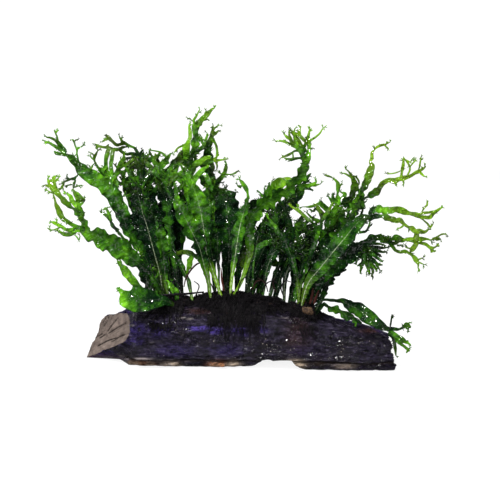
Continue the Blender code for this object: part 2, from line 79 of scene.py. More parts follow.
class Signal:
    """What a node puts out. Sums, differences and products of signals become Math nodes."""

    def __init__(self, socket):
        self.socket, self.tree = socket, socket.id_data

    def math(self, operation, other=0.0, clamp=False):
        """A Math node of this number and another one."""
        return put(self.tree, "Math", {0: self, 1: other}, operation=operation, use_clamp=clamp)

    def __add__(self, other):
        return self.math("ADD", other)

    def __mul__(self, other):
        return self.math("MULTIPLY", other)

    def __sub__(self, other):
        return self.math("SUBTRACT", other)

    def __rsub__(self, other):
        return put(self.tree, "Math", {0: other, 1: self}, operation="SUBTRACT")

    def between(self, low, high, out_low=0.0, out_high=1.0):
        """This number mapped from low..high to out_low..out_high, smoothly and held at both ends."""
        ends = {0: self, 1: low, 2: high, 3: out_low, 4: out_high}
        return put(self.tree, "MapRange", ends, interpolation_type="SMOOTHSTEP")

    def grain(self, scale, detail=3.0, roughness=0.55):
        """Noise at this place."""
        kind = {"Vector": self, "Scale": scale, "Detail": detail, "Roughness": roughness}
        return put(self.tree, "TexNoise", kind)

    def tinted(self, share, colour):
        """This colour, mixed with another one by share."""
        other = colour if isinstance(colour, Signal) else (*colour, 1.0)
        return put(self.tree, "Mix", {0: share, 6: self, 7: other}, 2, data_type="RGBA")

    def ramp(self, stops):
        """The colour of a ramp at this number; each stop is a position and its red, green and blue."""
        node = add(self.tree, "ValToRGB", {0: self})
        marks = node.color_ramp.elements
        for mark, (spot, *colour) in zip(marks, (stops[0], stops[-1])):
            mark.position, mark.color = spot, (*colour, 1.0)
        for spot, *colour in stops[1:-1]:
            marks.new(spot).color = (*colour, 1.0)
        return Signal(node.outputs[0])

    def bump(self, strength, distance):
        """The normal of a surface that this height lifts."""
        return put(self.tree, "Bump", {"Strength": strength, "Distance": distance, "Height": self})

    def dimmed(self, unseen):
        """This brightness for the camera, and a share of it for all other rays."""
        direct = put(self.tree, "LightPath", (), "Is Camera Ray")
        return self * (direct * (1 - unseen) + unseen)


def fill(node, values):
    """Sets or links inputs of a node by name or number."""
    for key, value in dict(values).items():
        if isinstance(value, Signal):
            node.id_data.links.new(value.socket, node.inputs[key])
        else:
            node.inputs[key].default_value = value


def add(tree, kind, inputs=(), **settings):
    """A new node with these settings and inputs."""
    node = tree.nodes.new("ShaderNode" + kind)
    for key, value in settings.items():
        setattr(node, key, value)
    fill(node, inputs)
    return node


def put(tree, kind, inputs=(), output=0, **settings):
    """What a new node with these settings and inputs puts out."""
    return Signal(add(tree, kind, inputs, **settings).outputs[output])


def place_of(tree):
    """The place on the object, in metres."""
    return put(tree, "TexCoord", (), "Object")


def parts_of(tree, name):
    """The three numbers of a point attribute."""
    vector = put(tree, "Attribute", (), "Vector", attribute_name=name)
    return [Signal(socket) for socket in add(tree, "SeparateXYZ", {0: vector}).outputs]


def new_group(name, inputs, outputs):
    """An empty node group: its tree, what it is given by name, and its output node."""
    tree = bpy.data.node_groups.new(name, "ShaderNodeTree")
    for label, value in inputs:
        socket = tree.interface.new_socket(label, in_out="INPUT", socket_type="NodeSocketFloat")
        socket.default_value = value
    for label in outputs:
        kind = "NodeSocketColor" if label == "Color" else "NodeSocketFloat"
        tree.interface.new_socket(label, in_out="OUTPUT", socket_type=kind)
    given = {socket.name: Signal(socket) for socket in tree.nodes.new("NodeGroupInput").outputs}
    return tree, given, tree.nodes.new("NodeGroupOutput")


def use(tree, group, **inputs):
    """What a node group puts out, by name."""
    return {socket.name: Signal(socket) for socket in add(tree, "Group", inputs, node_tree=group).outputs}


def new_finish(name):
    """A new material, its tree and its shader."""
    made = bpy.data.materials.new(name)
    made.use_nodes = True
    return made, made.node_tree, made.node_tree.nodes["Principled BSDF"]


# Finishes: noises are given by scale, detail and roughness, colours by red, green and blue


def wet_film():
    """Water: its height, a roughness that goes from Wet to Dry in broad patches, and drops, which are the
    peaks of a finer noise and are weaker where the film is wet."""
    inputs = (("Scale", 300.0), ("Wet", 0.2), ("Dry", 0.5))
    tree, given, out = new_group("wet_film", inputs, ("Height", "Roughness", "Drops"))
    place = place_of(tree)
    fine = place.grain(given["Scale"], 2.0, 0.5)
    broad = place.grain(70.0, 2.0)
    dry = broad.between(0.47, 0.66)
    peaks = place.grain(given["Scale"] * 2.2, 0.0, 0.5).between(0.54, 0.60)
    fill(out, {
        "Height": fine + broad * 0.6,
        "Roughness": given["Wet"] * (1.0 - dry) + given["Dry"] * dry,
        "Drops": peaks * broad.between(0.40, 0.50, 0.25, 1.0),
    })
    return tree


GREENS = ((0.0, 0.0016, 0.0070, 0.0026), (0.2, 0.0040, 0.0200, 0.0032), (0.42, 0.0190, 0.0780, 0.0040),
          (0.66, 0.0560, 0.1850, 0.0060), (0.84, 0.1150, 0.3250, 0.0120), (1.0, 0.210, 0.440, 0.020))
# the pale rib colour is partly the midrib's own and partly painted glints along it
TIP_YELLOW, PALE_RIB_AND_GLINTS = (0.170, 0.310, 0.012), (0.400, 0.460, 0.290)
VEIN_SLANT, VEIN_PACE, VEIN_BEND = 0.9, 1750.0, 9.0


def leaf_tones():
    """Colour and height of a frond from its own attributes: leaf (across -1 to 1, metres along, half width)
    and tone (lightness, yellow, rib). The lightness holds painted light and shade along with the frond's
    own
    green: lit fronds are light, fronds in the shaded interior dark, and each darkens towards its foot. The
    green's place on its ramp is the lightness plus shares of four noises, of the side veins (a sine along
    the blade) and of the edge. The dashes of the pale midrib are partly painted glints."""
    tree, given, out = new_group("leaf_tones", (("Mottle", 0.5),), ("Color", "Height", "Rib", "Beads"))
    place = place_of(tree)
    across, along, half = parts_of(tree, "leaf")
    light, yellow, rib = parts_of(tree, "tone")
    blotch = place.grain(330.0, 3.0) - 0.5
    broad = place.grain(60.0, 2.0) - 0.5
    patch = place.grain(150.0, 2.0) - 0.5
    speck = place.grain(620.0, 2.0) - 0.5
    side = across.math("ABSOLUTE")
    off = side * half  # metres from the midrib
    # side veins leave the midrib at a slant
    slant = along - off * VEIN_SLANT
    vein = (slant * VEIN_PACE + blotch * VEIN_BEND).math("SINE").between(0.35, 1.0)
    near = off.between(0.00005, 0.00042, 1.0, 0.0)
    # pale midrib, broken by noise into dashes that are partly painted glints
    middle = near * (rib * rib) * speck.between(-0.12, 0.10, 0.3, 1.0)
    edge = side.between(0.80, 1.0)
    # the lightness carries each frond's painted light and shade
    share = light + blotch * given["Mottle"] + broad + patch * 0.9
    share = share + speck * 0.15 + vein * 0.05 + edge * -0.10
    fill(out, {
        "Color": share.ramp(GREENS).tinted(yellow * 0.9, TIP_YELLOW).tinted(middle * 0.75, PALE_RIB_AND_GLINTS),
        "Height": vein * 1.3 + blotch * 1.6 + speck * 0.7,
        "Rib": middle,
        "Beads": off.between(0.0004, 0.0022, 1.0, 0.5),  # drops gather along the midrib
    })
    return tree


def leaf_finish(name, mottle):
    """Fern leaf: mottled greens, paler veins and a paler midrib whose dashes are partly painted glints,
    yellow-green crest tips, a film of water.
    """
    made, tree, shader = new_finish(name)
    tones = use(tree, LEAF, Mottle=mottle)
    water = use(tree, WET, Scale=330.0, Wet=0.12, Dry=0.4)
    fill(shader, {
        "Base Color": tones["Color"],
        "Roughness": water["Roughness"],
        "Normal": (tones["Height"] + water["Height"] * 2.2).bump(0.5, 0.0009),
        "Coat Weight": (water["Drops"] * tones["Beads"]).math("MAXIMUM", tones["Rib"]),
        "Coat Roughness": 0.08,
        "Coat IOR": 1.9,
        "Specular IOR Level": 0.04,
    })
    return made


WOOD_DARKS = ((0.42, 0.0010, 0.0008, 0.0014), (0.50, 0.0060, 0.0046, 0.0095),
              (0.57, 0.0185, 0.0145, 0.0290), (0.64, 0.085, 0.070, 0.108))
FACE_TAUPES = ((0.33, 0.062, 0.046, 0.040), (0.72, 0.215, 0.170, 0.145))
# the crevice colour is painted shade for the cracks of the sawn face, the crevice under the ledge and the
# hollows under the log
BLACK_BARK, PAINTED_CREVICE_SHADE, FLECK = (0.0060, 0.0042, 0.0055), (0.009, 0.006, 0.005), (0.34, 0.30, 0.26)
# the violet is a painted sheen: a reflection of bluish light painted into the wood's colour
PAINTED_VIOLET_SHEEN, RUST_BROWN = (0.048, 0.030, 0.180), (0.200, 0.070, 0.020)
# the pale colour is crust on the wood, and also a painted highlight along the top of the ledge
TAN_BARK, PALE_CRUST_AND_HIGHLIGHT = (0.290, 0.225, 0.165), (0.230, 0.200, 0.195)
GRAIN_STRETCH = (0.32, 1.0, 1.0)


def wood_finish():
    """Waterlogged wood: violet-black with lengthwise grain, from the attributes cut (sawn face, pale crust
    with a painted ledge highlight, painted violet sheen and glints) and rust (rust, tan, painted shade in
    cracks and hollows)."""
    made, tree, shader = new_finish("driftwood_wet")
    place = place_of(tree)
    # cut holds the sawn face, pale crust with a painted ledge highlight, and a painted violet sheen
    sawn, crust_and_highlight, violet_sheen_mask = parts_of(tree, "cut")
    # rust holds rust, tan, and painted shade in cracks and hollows
    rust, tan, crack_shade = parts_of(tree, "rust")
    long = put(tree, "Mapping", {"Vector": place, "Scale": GRAIN_STRETCH})
    fibre = long.grain(640.0, 6.0, 0.75)
    chips = place.grain(420.0, 4.0, 0.7)
    streak = long.grain(170.0, 3.0)
    cloud = place.grain(45.0, 3.0)
    speck = place.grain(900.0, 1.0, 0.5)
    base = (fibre * 0.5 + chips * 0.3 + streak * 0.2).ramp(WOOD_DARKS)
    base = base.tinted(cloud.between(0.50, 0.72, 0.0, 0.6), BLACK_BARK)
    # painted violet sheen and glints, on the fibres
    base = base.tinted(violet_sheen_mask * fibre.between(0.36, 0.6), PAINTED_VIOLET_SHEEN)
    base = base.tinted(rust * fibre.between(0.35, 0.6), RUST_BROWN)
    base = base.tinted(tan * fibre.between(0.3, 0.62), TAN_BARK)
    # pale crust, with a painted highlight along the top of the ledge
    base = base.tinted(crust_and_highlight * streak.between(0.38, 0.6), PALE_CRUST_AND_HIGHLIGHT)
    base = base.tinted(speck.between(0.70, 0.76) * cloud.between(0.48, 0.62, 0.05, 0.65), FLECK)
    face = (place.grain(260.0, 5.0) * 0.7 + cloud * 0.35).ramp(FACE_TAUPES)
    water = use(tree, WET, Scale=420.0, Wet=0.20, Dry=0.5)
    beads = cloud.between(0.46, 0.58, 0.05, 0.5) - sawn
    fill(shader, {
        # painted shade darkens the cracks, the crevice and the hollows
        "Base Color": base.tinted(sawn, face).tinted(crack_shade * 1.1, PAINTED_CREVICE_SHADE),
        "Roughness": put(tree, "Mix", {0: sawn, 2: water["Roughness"], 3: 0.8}),
        "Normal": (fibre * 1.5 + streak * 1.2 + water["Height"] * 0.35).bump(0.9, 0.0011),
        "Coat Weight": water["Drops"].math("MULTIPLY", beads, True),
        "Coat Roughness": 0.10,
        "Coat IOR": 1.4,
        "Specular IOR Level": 0.10,
    })
    return made


ROOT_BROWNS = ((0.0, 0.0018, 0.0015, 0.0018), (0.35, 0.0070, 0.0052, 0.0070), (1.0, 0.300, 0.180, 0.090))
SCALE_RED = (0.070, 0.016, 0.010)


def root_finish():
    """Root felt and bare rhizome: brown-black, paler and redder where the attribute tone says so."""
    made, tree, shader = new_finish("root_felt")
    place = place_of(tree)
    light, red, _ = parts_of(tree, "tone")
    fine, broad = place.grain(700.0, 4.0), place.grain(160.0, 3.0)
    fill(shader, {
        "Base Color": (light + (fine - 0.5) * 0.5).ramp(ROOT_BROWNS).tinted(red, SCALE_RED),
        "Roughness": broad.between(0.35, 0.65, 0.35, 0.75),
        "Normal": (fine + broad).bump(0.8, 0.0008),
        "Specular IOR Level": 0.07,
    })
    return made


WET = wet_film()
LEAF = leaf_tones()
# two copies of one leaf finish, for lit fronds and for fronds in painted shade
LEAF_BRIGHT, LEAF_DARK = leaf_finish("leaf_bright", 0.4), leaf_finish("leaf_dark", 0.35)
WOOD, ROOT = wood_finish(), root_finish()

# Camera, floor and light


def placed(name, data, place=(0.0, 0.0, 0.0), turn=(0.0, 0.0, 0.0)):
    """A new object of the scene."""
    made = bpy.data.objects.new(name, data)
    made.location, made.rotation_euler = place, turn
    bpy.context.scene.collection.objects.link(made)
    return made


def camera():
    """Looks at the aim from the front and above; its lens gives PIXEL metres a picture point there."""
    lens = bpy.data.cameras.new("camera")
    lens.sensor_width = SENSOR
    lens.lens = DISTANCE * SENSOR / (PICTURE * PIXEL)
    bpy.context.scene.camera = placed("camera", lens, EYE, (math.pi / 2 - TILT, 0.0, 0.0))


def floor():
    """A pale round floor. It looks white but throws little light back up, so that the undersides of the
    leaves stay dark."""
    mesh = bpy.data.meshes.new("floor")
    angle = np.linspace(0, 2 * np.pi, FLOOR_SIDES, endpoint=False)
    x, y = FLOOR_RADIUS * np.cos(angle), FLOOR_RADIUS * np.sin(angle)
    ring = np.stack([x, y, 0 * angle + FLOOR_HEIGHT], -1)
    mesh.from_pydata(ring.tolist(), [], [list(range(FLOOR_SIDES))])
    paint, tree, shader = new_finish("floor_white")
    far = put(tree, "VectorMath", {0: place_of(tree)}, "Value", operation="LENGTH")
    fill(shader, {
        "Base Color": (0.10, 0.10, 0.10, 1.0),
        "Roughness": 0.9,
        "Emission Color": WHITE,
        "Emission Strength": far.between(0.3, 1.0, 0.88, 0.98).dimmed(0.25),
    })
    mesh.materials.append(paint)
    placed("floor", mesh)


def studio():
    """A world that is white at the horizon and dim overhead, so that dark things stay dark. It is dimmer in
    reflections, so that wet leaves mirror the lamps and not the room."""
    world = bpy.data.worlds.new("studio")
    world.use_nodes = True
    tree = world.node_tree
    up = put(tree, "SeparateXYZ", {0: put(tree, "TexCoord", (), "Generated")}, 2)
    glow = up.between(0.04, 0.10, 1.1, 0.06)
    fill(tree.nodes["Background"], {"Color": WHITE, "Strength": glow.dimmed(0.35)})
    bpy.context.scene.world = world
    bpy.context.scene.view_settings.view_transform = "Standard"


def lamp(name, place, size, watts):
    """A square soft box, turned towards the plant."""
    light = bpy.data.lights.new(name, "AREA")
    light.size, light.energy = size, watts
    placed(name, light, place, (Vector(LIT) - Vector(place)).to_track_quat("-Z", "Y").to_euler())


# Shapes as arrays


def seen_at(px, py, depth):
    """Where the sight line through a picture point meets the upright plane this many millimetres back."""
    px, py, depth = (np.asarray(a, float) for a in (px, py, depth))
    across, up = (px - PICTURE / 2) * PIXEL, (PICTURE / 2 - py) * PIXEL
    steps = (depth * MM + DISTANCE * COS) / (DISTANCE * COS + up * SIN)
    z = AIM[2] + DISTANCE * SIN + steps * (up * COS - DISTANCE * SIN)
    return np.stack([AIM[0] + steps * across, depth * MM + 0 * steps, z], -1)


def seen(points):
    """Picture points of places in space, the other way round from seen_at."""
    x, y, z = (points - EYE).T
    far = y * COS - z * SIN
    px = PICTURE / 2 + x / far * DISTANCE / PIXEL
    return np.stack([px, PICTURE / 2 - (y * SIN + z * COS) / far * DISTANCE / PIXEL], -1)


def rows_of(text):
    """Rows of numbers, each written as one word with commas."""
    return np.array([[float(n) for n in word.split(",")] for word in text.split()])


def lines_of(text):
    """For each traced line of a text, which slashes part: the numbers before its points, and the points."""
    for part in filter(str.strip, text.split("/")):
        words = part.split()
        yield [float(w) for w in words if "," not in w], rows_of(" ".join(w for w in words if "," in w))


def unit(v):
    """Vectors divided by their lengths."""
    return v / np.maximum(np.linalg.norm(v, axis=-1, keepdims=True), 1e-12)


def bell(value, middle, wide, power=2):
    """1 at the middle, and exp(-1) a width away."""
    return np.exp(-(((value - middle) / wide) ** power))


def steps_of(points):
    """How long the steps between the points of a line are."""
    return np.linalg.norm(np.diff(points, axis=0), axis=1)


def way_of(points):
    """The way along a line to each of its points."""
    return np.concatenate([[0.0], np.cumsum(steps_of(points))])


def shares(points):
    """How far along a line each of its points is, from 0 to 1."""
    return way_of(points) / way_of(points)[-1]


def spline(points, at):
    """The smooth curve through rows of numbers (each row pulls with half the step between its neighbours),
    read at these row numbers."""
    i = np.clip(np.floor(at).astype(int), 0, len(points) - 2)
    t = (at - i)[:, None]
    padded = np.concatenate([2 * points[:1] - points[1:2], points, 2 * points[-1:] - points[-2:-1]])
    a, b, c, d = (padded[i + k] for k in range(4))
    return 0.5 * (2 * b + (c - a) * t + (2 * a - 5 * b + 4 * c - d) * t**2 + (3 * b - a - 3 * c + d) * t**3)


def resampled(line, rows, column):
    """The smooth curve through a line at evenly spaced rows, a column of numbers there, and the places of
    these rows among the line's own."""
    numbers = np.arange(len(line))
    at = np.interp(np.linspace(0, 1, rows), shares(line), numbers)
    return spline(line, at), np.interp(at, numbers, column), at


def waves(points, size, seed, count=24):
    """Smooth noise, mostly -1 to 1: sine waves in random directions, about size metres apart (three sizes
    stretch it along the axes), added and divided by the root of their count."""
    rng = np.random.default_rng(seed)
    ways = unit(rng.normal(size=(count, 3)))
    pace = 2 * np.pi * ways * rng.uniform(0.6, 1.6, (count, 1)) / np.asarray(size)
    return np.sin(points @ pace.T + rng.uniform(0, 2 * np.pi, count)).sum(-1) * math.sqrt(1.0 / count)


class Heap:
    """Collects closed skins with two attributes, three numbers each, for one mesh."""

    def __init__(self):
        self.points, self.quads, self.tris, self.fields = [], [], [], []
        self.count = 0

    def sleeves(self, rings, fields):
        """Adds closed skins over rings (skins x rows x round x 3): quads between the rings, and a fan to
        the middle of each end. Fields holds six numbers a point."""
        many, rows, cols, _ = rings.shape
        for kept, values in ((self.points, rings), (self.fields, fields)):
            ends = [values[:, end].mean(1)[:, None] for end in (0, -1)]
            flat = values.reshape(many, rows * cols, -1)
            kept.append(np.concatenate([flat, *ends], 1).reshape(-1, flat.shape[2]))
        ring = np.arange(cols)
        after = np.roll(ring, -1)
        row = np.arange(rows - 1)[:, None] * cols
        quads = np.stack([row + ring, row + after, row + after + cols, row + ring + cols], -1)
        last, centre = (rows - 1) * cols, np.full(cols, rows * cols)
        tris = np.concatenate([np.stack([after, ring, centre], -1),
                               np.stack([centre + 1, last + ring, last + after], -1)])
        size = rows * cols + 2
        start = (self.count + np.arange(many) * size)[:, None, None]
        self.quads.append((quads.reshape(-1, 4) + start).reshape(-1, 4))
        self.tris.append((tris + start).reshape(-1, 3))
        self.count += many * size

    def piece(self, name, finish, replaced, labels=("leaf", "tone")):
        """Makes the mesh object, which rides on the root and stands for this solid."""
        points, fields, quads, tris = map(np.concatenate, (self.points, self.fields, self.quads, self.tris))
        mesh = bpy.data.meshes.new(name)
        mesh.vertices.add(len(points))
        mesh.vertices.foreach_set("co", points.ravel())
        mesh.loops.add(quads.size + tris.size)
        mesh.loops.foreach_set("vertex_index", np.concatenate([quads.ravel(), tris.ravel()]))
        mesh.polygons.add(len(quads) + len(tris))
        starts = np.concatenate([np.arange(len(quads)) * 4, quads.size + np.arange(len(tris)) * 3])
        mesh.polygons.foreach_set("loop_start", starts)
        mesh.polygons.foreach_set("use_smooth", np.ones(len(starts), bool))
        mesh.update(calc_edges=True)
        for k, label in enumerate(labels):
            field = mesh.attributes.new(label, "FLOAT_VECTOR", "POINT")
            field.data.foreach_set("vector", fields[:, 3 * k : 3 * k + 3].ravel())
        mesh.materials.append(finish)
        made = placed(name, mesh)
        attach(made, "root")
        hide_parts(replaced)


def solid_tree(*names):
    """Search tree over the faces of these solids, in the world's metres."""
    points, faces = [], []
    for name in names:
        node = nodes[name]
        faces += [[i + len(points) for i in face.vertices] for face in node.data.polygons]
        points += [node.matrix_world @ vertex.co for vertex in node.data.vertices]
    return BVHTree.FromPolygons(points, faces)


bpy.context.view_layer.update()
WOOD_TREE = solid_tree("driftwood")
GROUND_TREE = solid_tree("driftwood", "rhizome_left", "rhizome_centre", "rhizome_right")


def top_of(tree, x, y):
    """Height of the first thing that a drop from above meets at each of these places, or 0."""
    places = zip(np.ravel(x), np.ravel(y))
    hits = [tree.ray_cast(Vector((a, b, SKY)), Vector((0, 0, -1)))[0] for a, b in places]
    return np.array([0.0 if hit is None else hit.z for hit in hits]).reshape(np.shape(x))


# Driftwood

LOG_LEFT, LOG_RIGHT = -103.0, 98.5
LOG_ROWS, LOG_AROUND, LOG_CAP = 300, 160, 26  # rings, points of each, rings that close each end
# x, top, front, back in millimetres along the log
LOG_PROFILE = rows_of("""
-103,32,21.5,20 -84,34,22.5,21 -68,36,23,22.5 -52,38,23,23 -36,39.5,24,23.5 -20,40,24.5,23 -4,39.5,25,22.5
12,38.5,25.5,22 28,36,27,21 44,33,29,20 60,29,31,18.5 76,25,32.5,17 90,21.5,33,15.5 98.5,19,32,14""")
# across (front -1, back 1) and up (0 to 1) around the log, from the near foot over the top
LOG_SECTION = rows_of("""
-0.76,0 -1,0.13 -1,0.22 -0.91,0.29 -0.89,0.48 -0.86,0.68 -0.76,0.84 -0.56,0.95 -0.28,1 0.02,0.99 0.32,0.93
0.62,0.84 0.84,0.68 0.97,0.46 1,0.22 0.93,0 0.56,0 0.2,0 -0.2,0 -0.5,0""")
# the saw's plane in millimetres: how far right of the left end, and that for each one up and each one back
SAW_X, SAW_UP, SAW_BACK = 11.2, 0.436, -0.626
# which neighbours on its ring a point is averaged with, and their shares
ROUNDING = ((-2, 0.1), (-1, 0.22), (0, 0.36), (1, 0.22), (2, 0.1))
# cracks of the sawn face, and soft patches (px, py, radius across and up and down, strength)
FACE_CRACKS = """
92,342 96,337 102,334 / 103,323 106,317 109,312 / 91,346 90,351 / 113,315 119,309 / 109,333 117,328 126,323
/ 108,331 112,325 118,318 / 100,338 106,334 / 98,346 107,341 116,338 / 104,326 107,321 109,317
/ 112,342 119,337 124,335"""
# painted violet sheen and glints of bluish light on the wet wood; the strongest patches are painted glints
PAINTED_VIOLET_SHEEN_AND_GLINTS = rows_of("""
137,329,9,7,0.6 134,341,9,4,0.4 158,330,12,7,0.4 197,328.5,8,2.2,1.8 203,327.5,5,1.6,1.8 216,331,7,2.8,1.8
238,330,9,4,0.5 264,330,6,3,0.4 244,335,5,3,0.4 225,350,20,5,0.2 175,350,20,6,0.22 300,350,14,5,0.12""")
# pale crust on the wood, and painted highlights along the top of the ledge and on some edges
PALE_CRUST_AND_LEDGE_HIGHLIGHT = rows_of("""
112,356,14,1.4,0.9 140,359,16,1.2,0.8 166,360,14,1,0.7 128.5,325,1.2,7,0.9 166,365,9,1.6,0.9
200,361,16,0.9,0.6 290,318,10,0.8,0.5 343,364,12,1.4,0.4 182,318,4,0.8,0.9 190,318.5,3,0.8,0.8
183,334,1.5,1.2,0.9 214,348,0.9,1.2,1 236,364,8,2,0.4 148,342,6,0.9,0.4 132,325,5,1,0.4""")
TAN = rows_of("""
233,366,8,5,1.4 295,365,10,5,1.5 171,366,10,4,1.3 345,366,11,3,0.4 133,365,9,4,0.8 216,366,6,4,0.5
150,366,5,4,0.9""")
# painted shade in the hollows under the log
PAINTED_HOLLOW_SHADE = rows_of("319,363.5,9,3.2,1 309,366,4,2,0.7 123,362.5,4,1.6,0.9 152,363,5,1.2,0.6")
RUST = rows_of("""
140,365,11,5,0.8 217,366,10,5,1.6 298,335,13,17,0.07 369,331,10,2.2,0.18 152,366,6,4,0.6
200,311,14,3,0.15""")
# lumps of bark under the ledge: x and half length in millimetres, how far they stand out
LUMPS = rows_of("""
-73,4,2.2 -62,7,3 -47,8,3.4 -31,5,2.4 -15,7,4.2 -4,4,3 35,6,4.4 52,4,2 66,9,2.6""")
# heights in millimetres of the crevice, of the ledge over it and of the lumps under it
CREVICE_HEIGHT, LEDGE_HEIGHT, LUMP_HEIGHT = 4.9, 6.2, 2.3
# the hollow under the log: middle, half length and height
ARCH_X, ARCH_HALF, ARCH_HEIGHT = 24, 12.0, 7.0
# right of it the near foot moves forwards: from where, over what way, by what share of the depth
FOOT_X, FOOT_WAY, FOOT_FORWARD = 34, 8, 0.2
# how far from the ends the saw's slant, the feet's cut and the ragged end reach, and how high that cut is
SAWN_REACH, CUT_REACH, RAGGED_REACH, CUT_HEIGHT = 38.0, 47, 14.0, 18.3
# near edge of the left foot: x and y; far edge of the log's left end: height and y
NEAR_FOOT = (-103, -81, -76, -56), (8.5, 3.0, -12.0, -18.0)
FAR_FOOT = (0, 11, 30), (8.5, 14.1, 17.5)
# noises of the wood: sizes in metres and seed; how high the first four are in millimetres
FIBRE, FINE_FIBRE = ((0.045, 0.0042, 0.0042), 3), ((0.02, 0.0019, 0.0019), 4)
SWELLING, CHIP = ((0.034, 0.014, 0.014), 5), ((0.012, 0.006, 0.005), 6)
TEAR, SAW_MARK = ((0.01, 0.006, 0.003), 7), ((0.003, 0.003, 0.003), 8)
BARK, FINE_BARK = ((0.006, 0.005, 0.004), 9), ((0.004, 0.003, 0.003), 10)
FIBRE_HIGH, FINE_HIGH, SWELLING_HIGH, CHIP_HIGH = 0.33, 0.15, 0.55, -1.6
# how deep the crevice is and how far the ledge stands out, in millimetres
CREVICE_DEEP, LEDGE_OUT = -1.2, 0.9


def log_rings():
    """Rings of the log in metres: the section scaled by the profile along x, waved a little; the left end
    is sawn on a slanting plane, the right end is ragged, and the underside is arched. Each ring is then
    resampled and its edges are rounded."""
    x = np.linspace(LOG_LEFT, LOG_RIGHT, LOG_ROWS)[:, None]
    k = np.arange(len(LOG_SECTION))[None]
    side, up = LOG_SECTION.T
    top, front, back = (np.interp(x, LOG_PROFILE[:, 0], LOG_PROFILE[:, c]) for c in (1, 2, 3))
    lean = np.maximum(0, 1 - (x - LOG_LEFT) / SAWN_REACH)
    wave = np.where(up > 0, 0.9 * np.sin(0.13 * x + 1.9 * k) + 0.5 * np.sin(0.31 * x + 4.1 * k), 0.0)
    arch = ARCH_HEIGHT * bell(x, ARCH_X, ARCH_HALF, 4)
    z = np.where(up > 0, up * top + wave * (0.5 + up * 0.5) * 0.8, arch)
    # right of the arch the near foot stands almost under the front
    out = side - FOOT_FORWARD * (k == 0) * np.clip((x - FOOT_X) / FOOT_WAY, 0, 1)
    y = out * np.where(side < 0, front, back) + 0.8 * wave * side
    # both feet of the left end are cut away on a slant, the near one further and further along
    away = np.clip((x - LOG_LEFT) / CUT_REACH, 0, 1)
    keel, high = np.interp(x, *NEAR_FOOT), CUT_HEIGHT * (1 - away) ** 0.8 + 0.01
    y = np.where(away < 1, np.maximum(y, keel + (-front - keel) * np.clip(z / high, 0, 1)), y)
    y = np.minimum(y, np.interp(z, *FAR_FOOT) + (1 - lean) * 14)
    shift = lean * (SAW_X + SAW_UP * z + SAW_BACK * y - 4.0 * np.clip(1 - z / 14, 0, 1))
    ragged = 1.6 * np.sin(2.3 * k) - 1.2 - 0.10 * z
    shift = shift + np.maximum(0, 1 - (LOG_RIGHT - x) / RAGGED_REACH) * ragged
    ring = np.stack([x + shift, y, np.maximum(z, 0)], -1)
    at = np.linspace(0, len(side), LOG_AROUND, endpoint=False)
    low = np.floor(at).astype(int)
    t = (at - low)[None, :, None]
    ring = ring[:, low] * (1 - t) + ring[:, (low + 1) % len(side)] * t
    return sum(w * np.roll(ring, s, axis=1) for s, w in ROUNDING) * MM


def groove(points, width):
    """How near points of the picture are to a crack of the sawn face: 1 on it, fading over this width."""
    best = np.zeros(len(points))
    for _, ends in lines_of(FACE_CRACKS):
        for a, b in zip(ends, ends[1:]):
            t = np.clip(((points - a) @ (b - a)) / ((b - a) @ (b - a)), 0, 1)
            off = np.linalg.norm(points - a - t[:, None] * (b - a), axis=1)
            best = np.maximum(best, bell(off, 0, width))
    return best


def spots(at, table):
    """Soft round patches in the picture: strength times exp(-r^3) at r radii; the strongest one counts."""
    total = np.zeros(len(at))
    for px, py, wide, high, strength in table:
        off = (at - (px, py)) / (wide, high)
        total = np.maximum(total, strength * np.exp(-((off**2).sum(1) ** 1.5)))
    return total


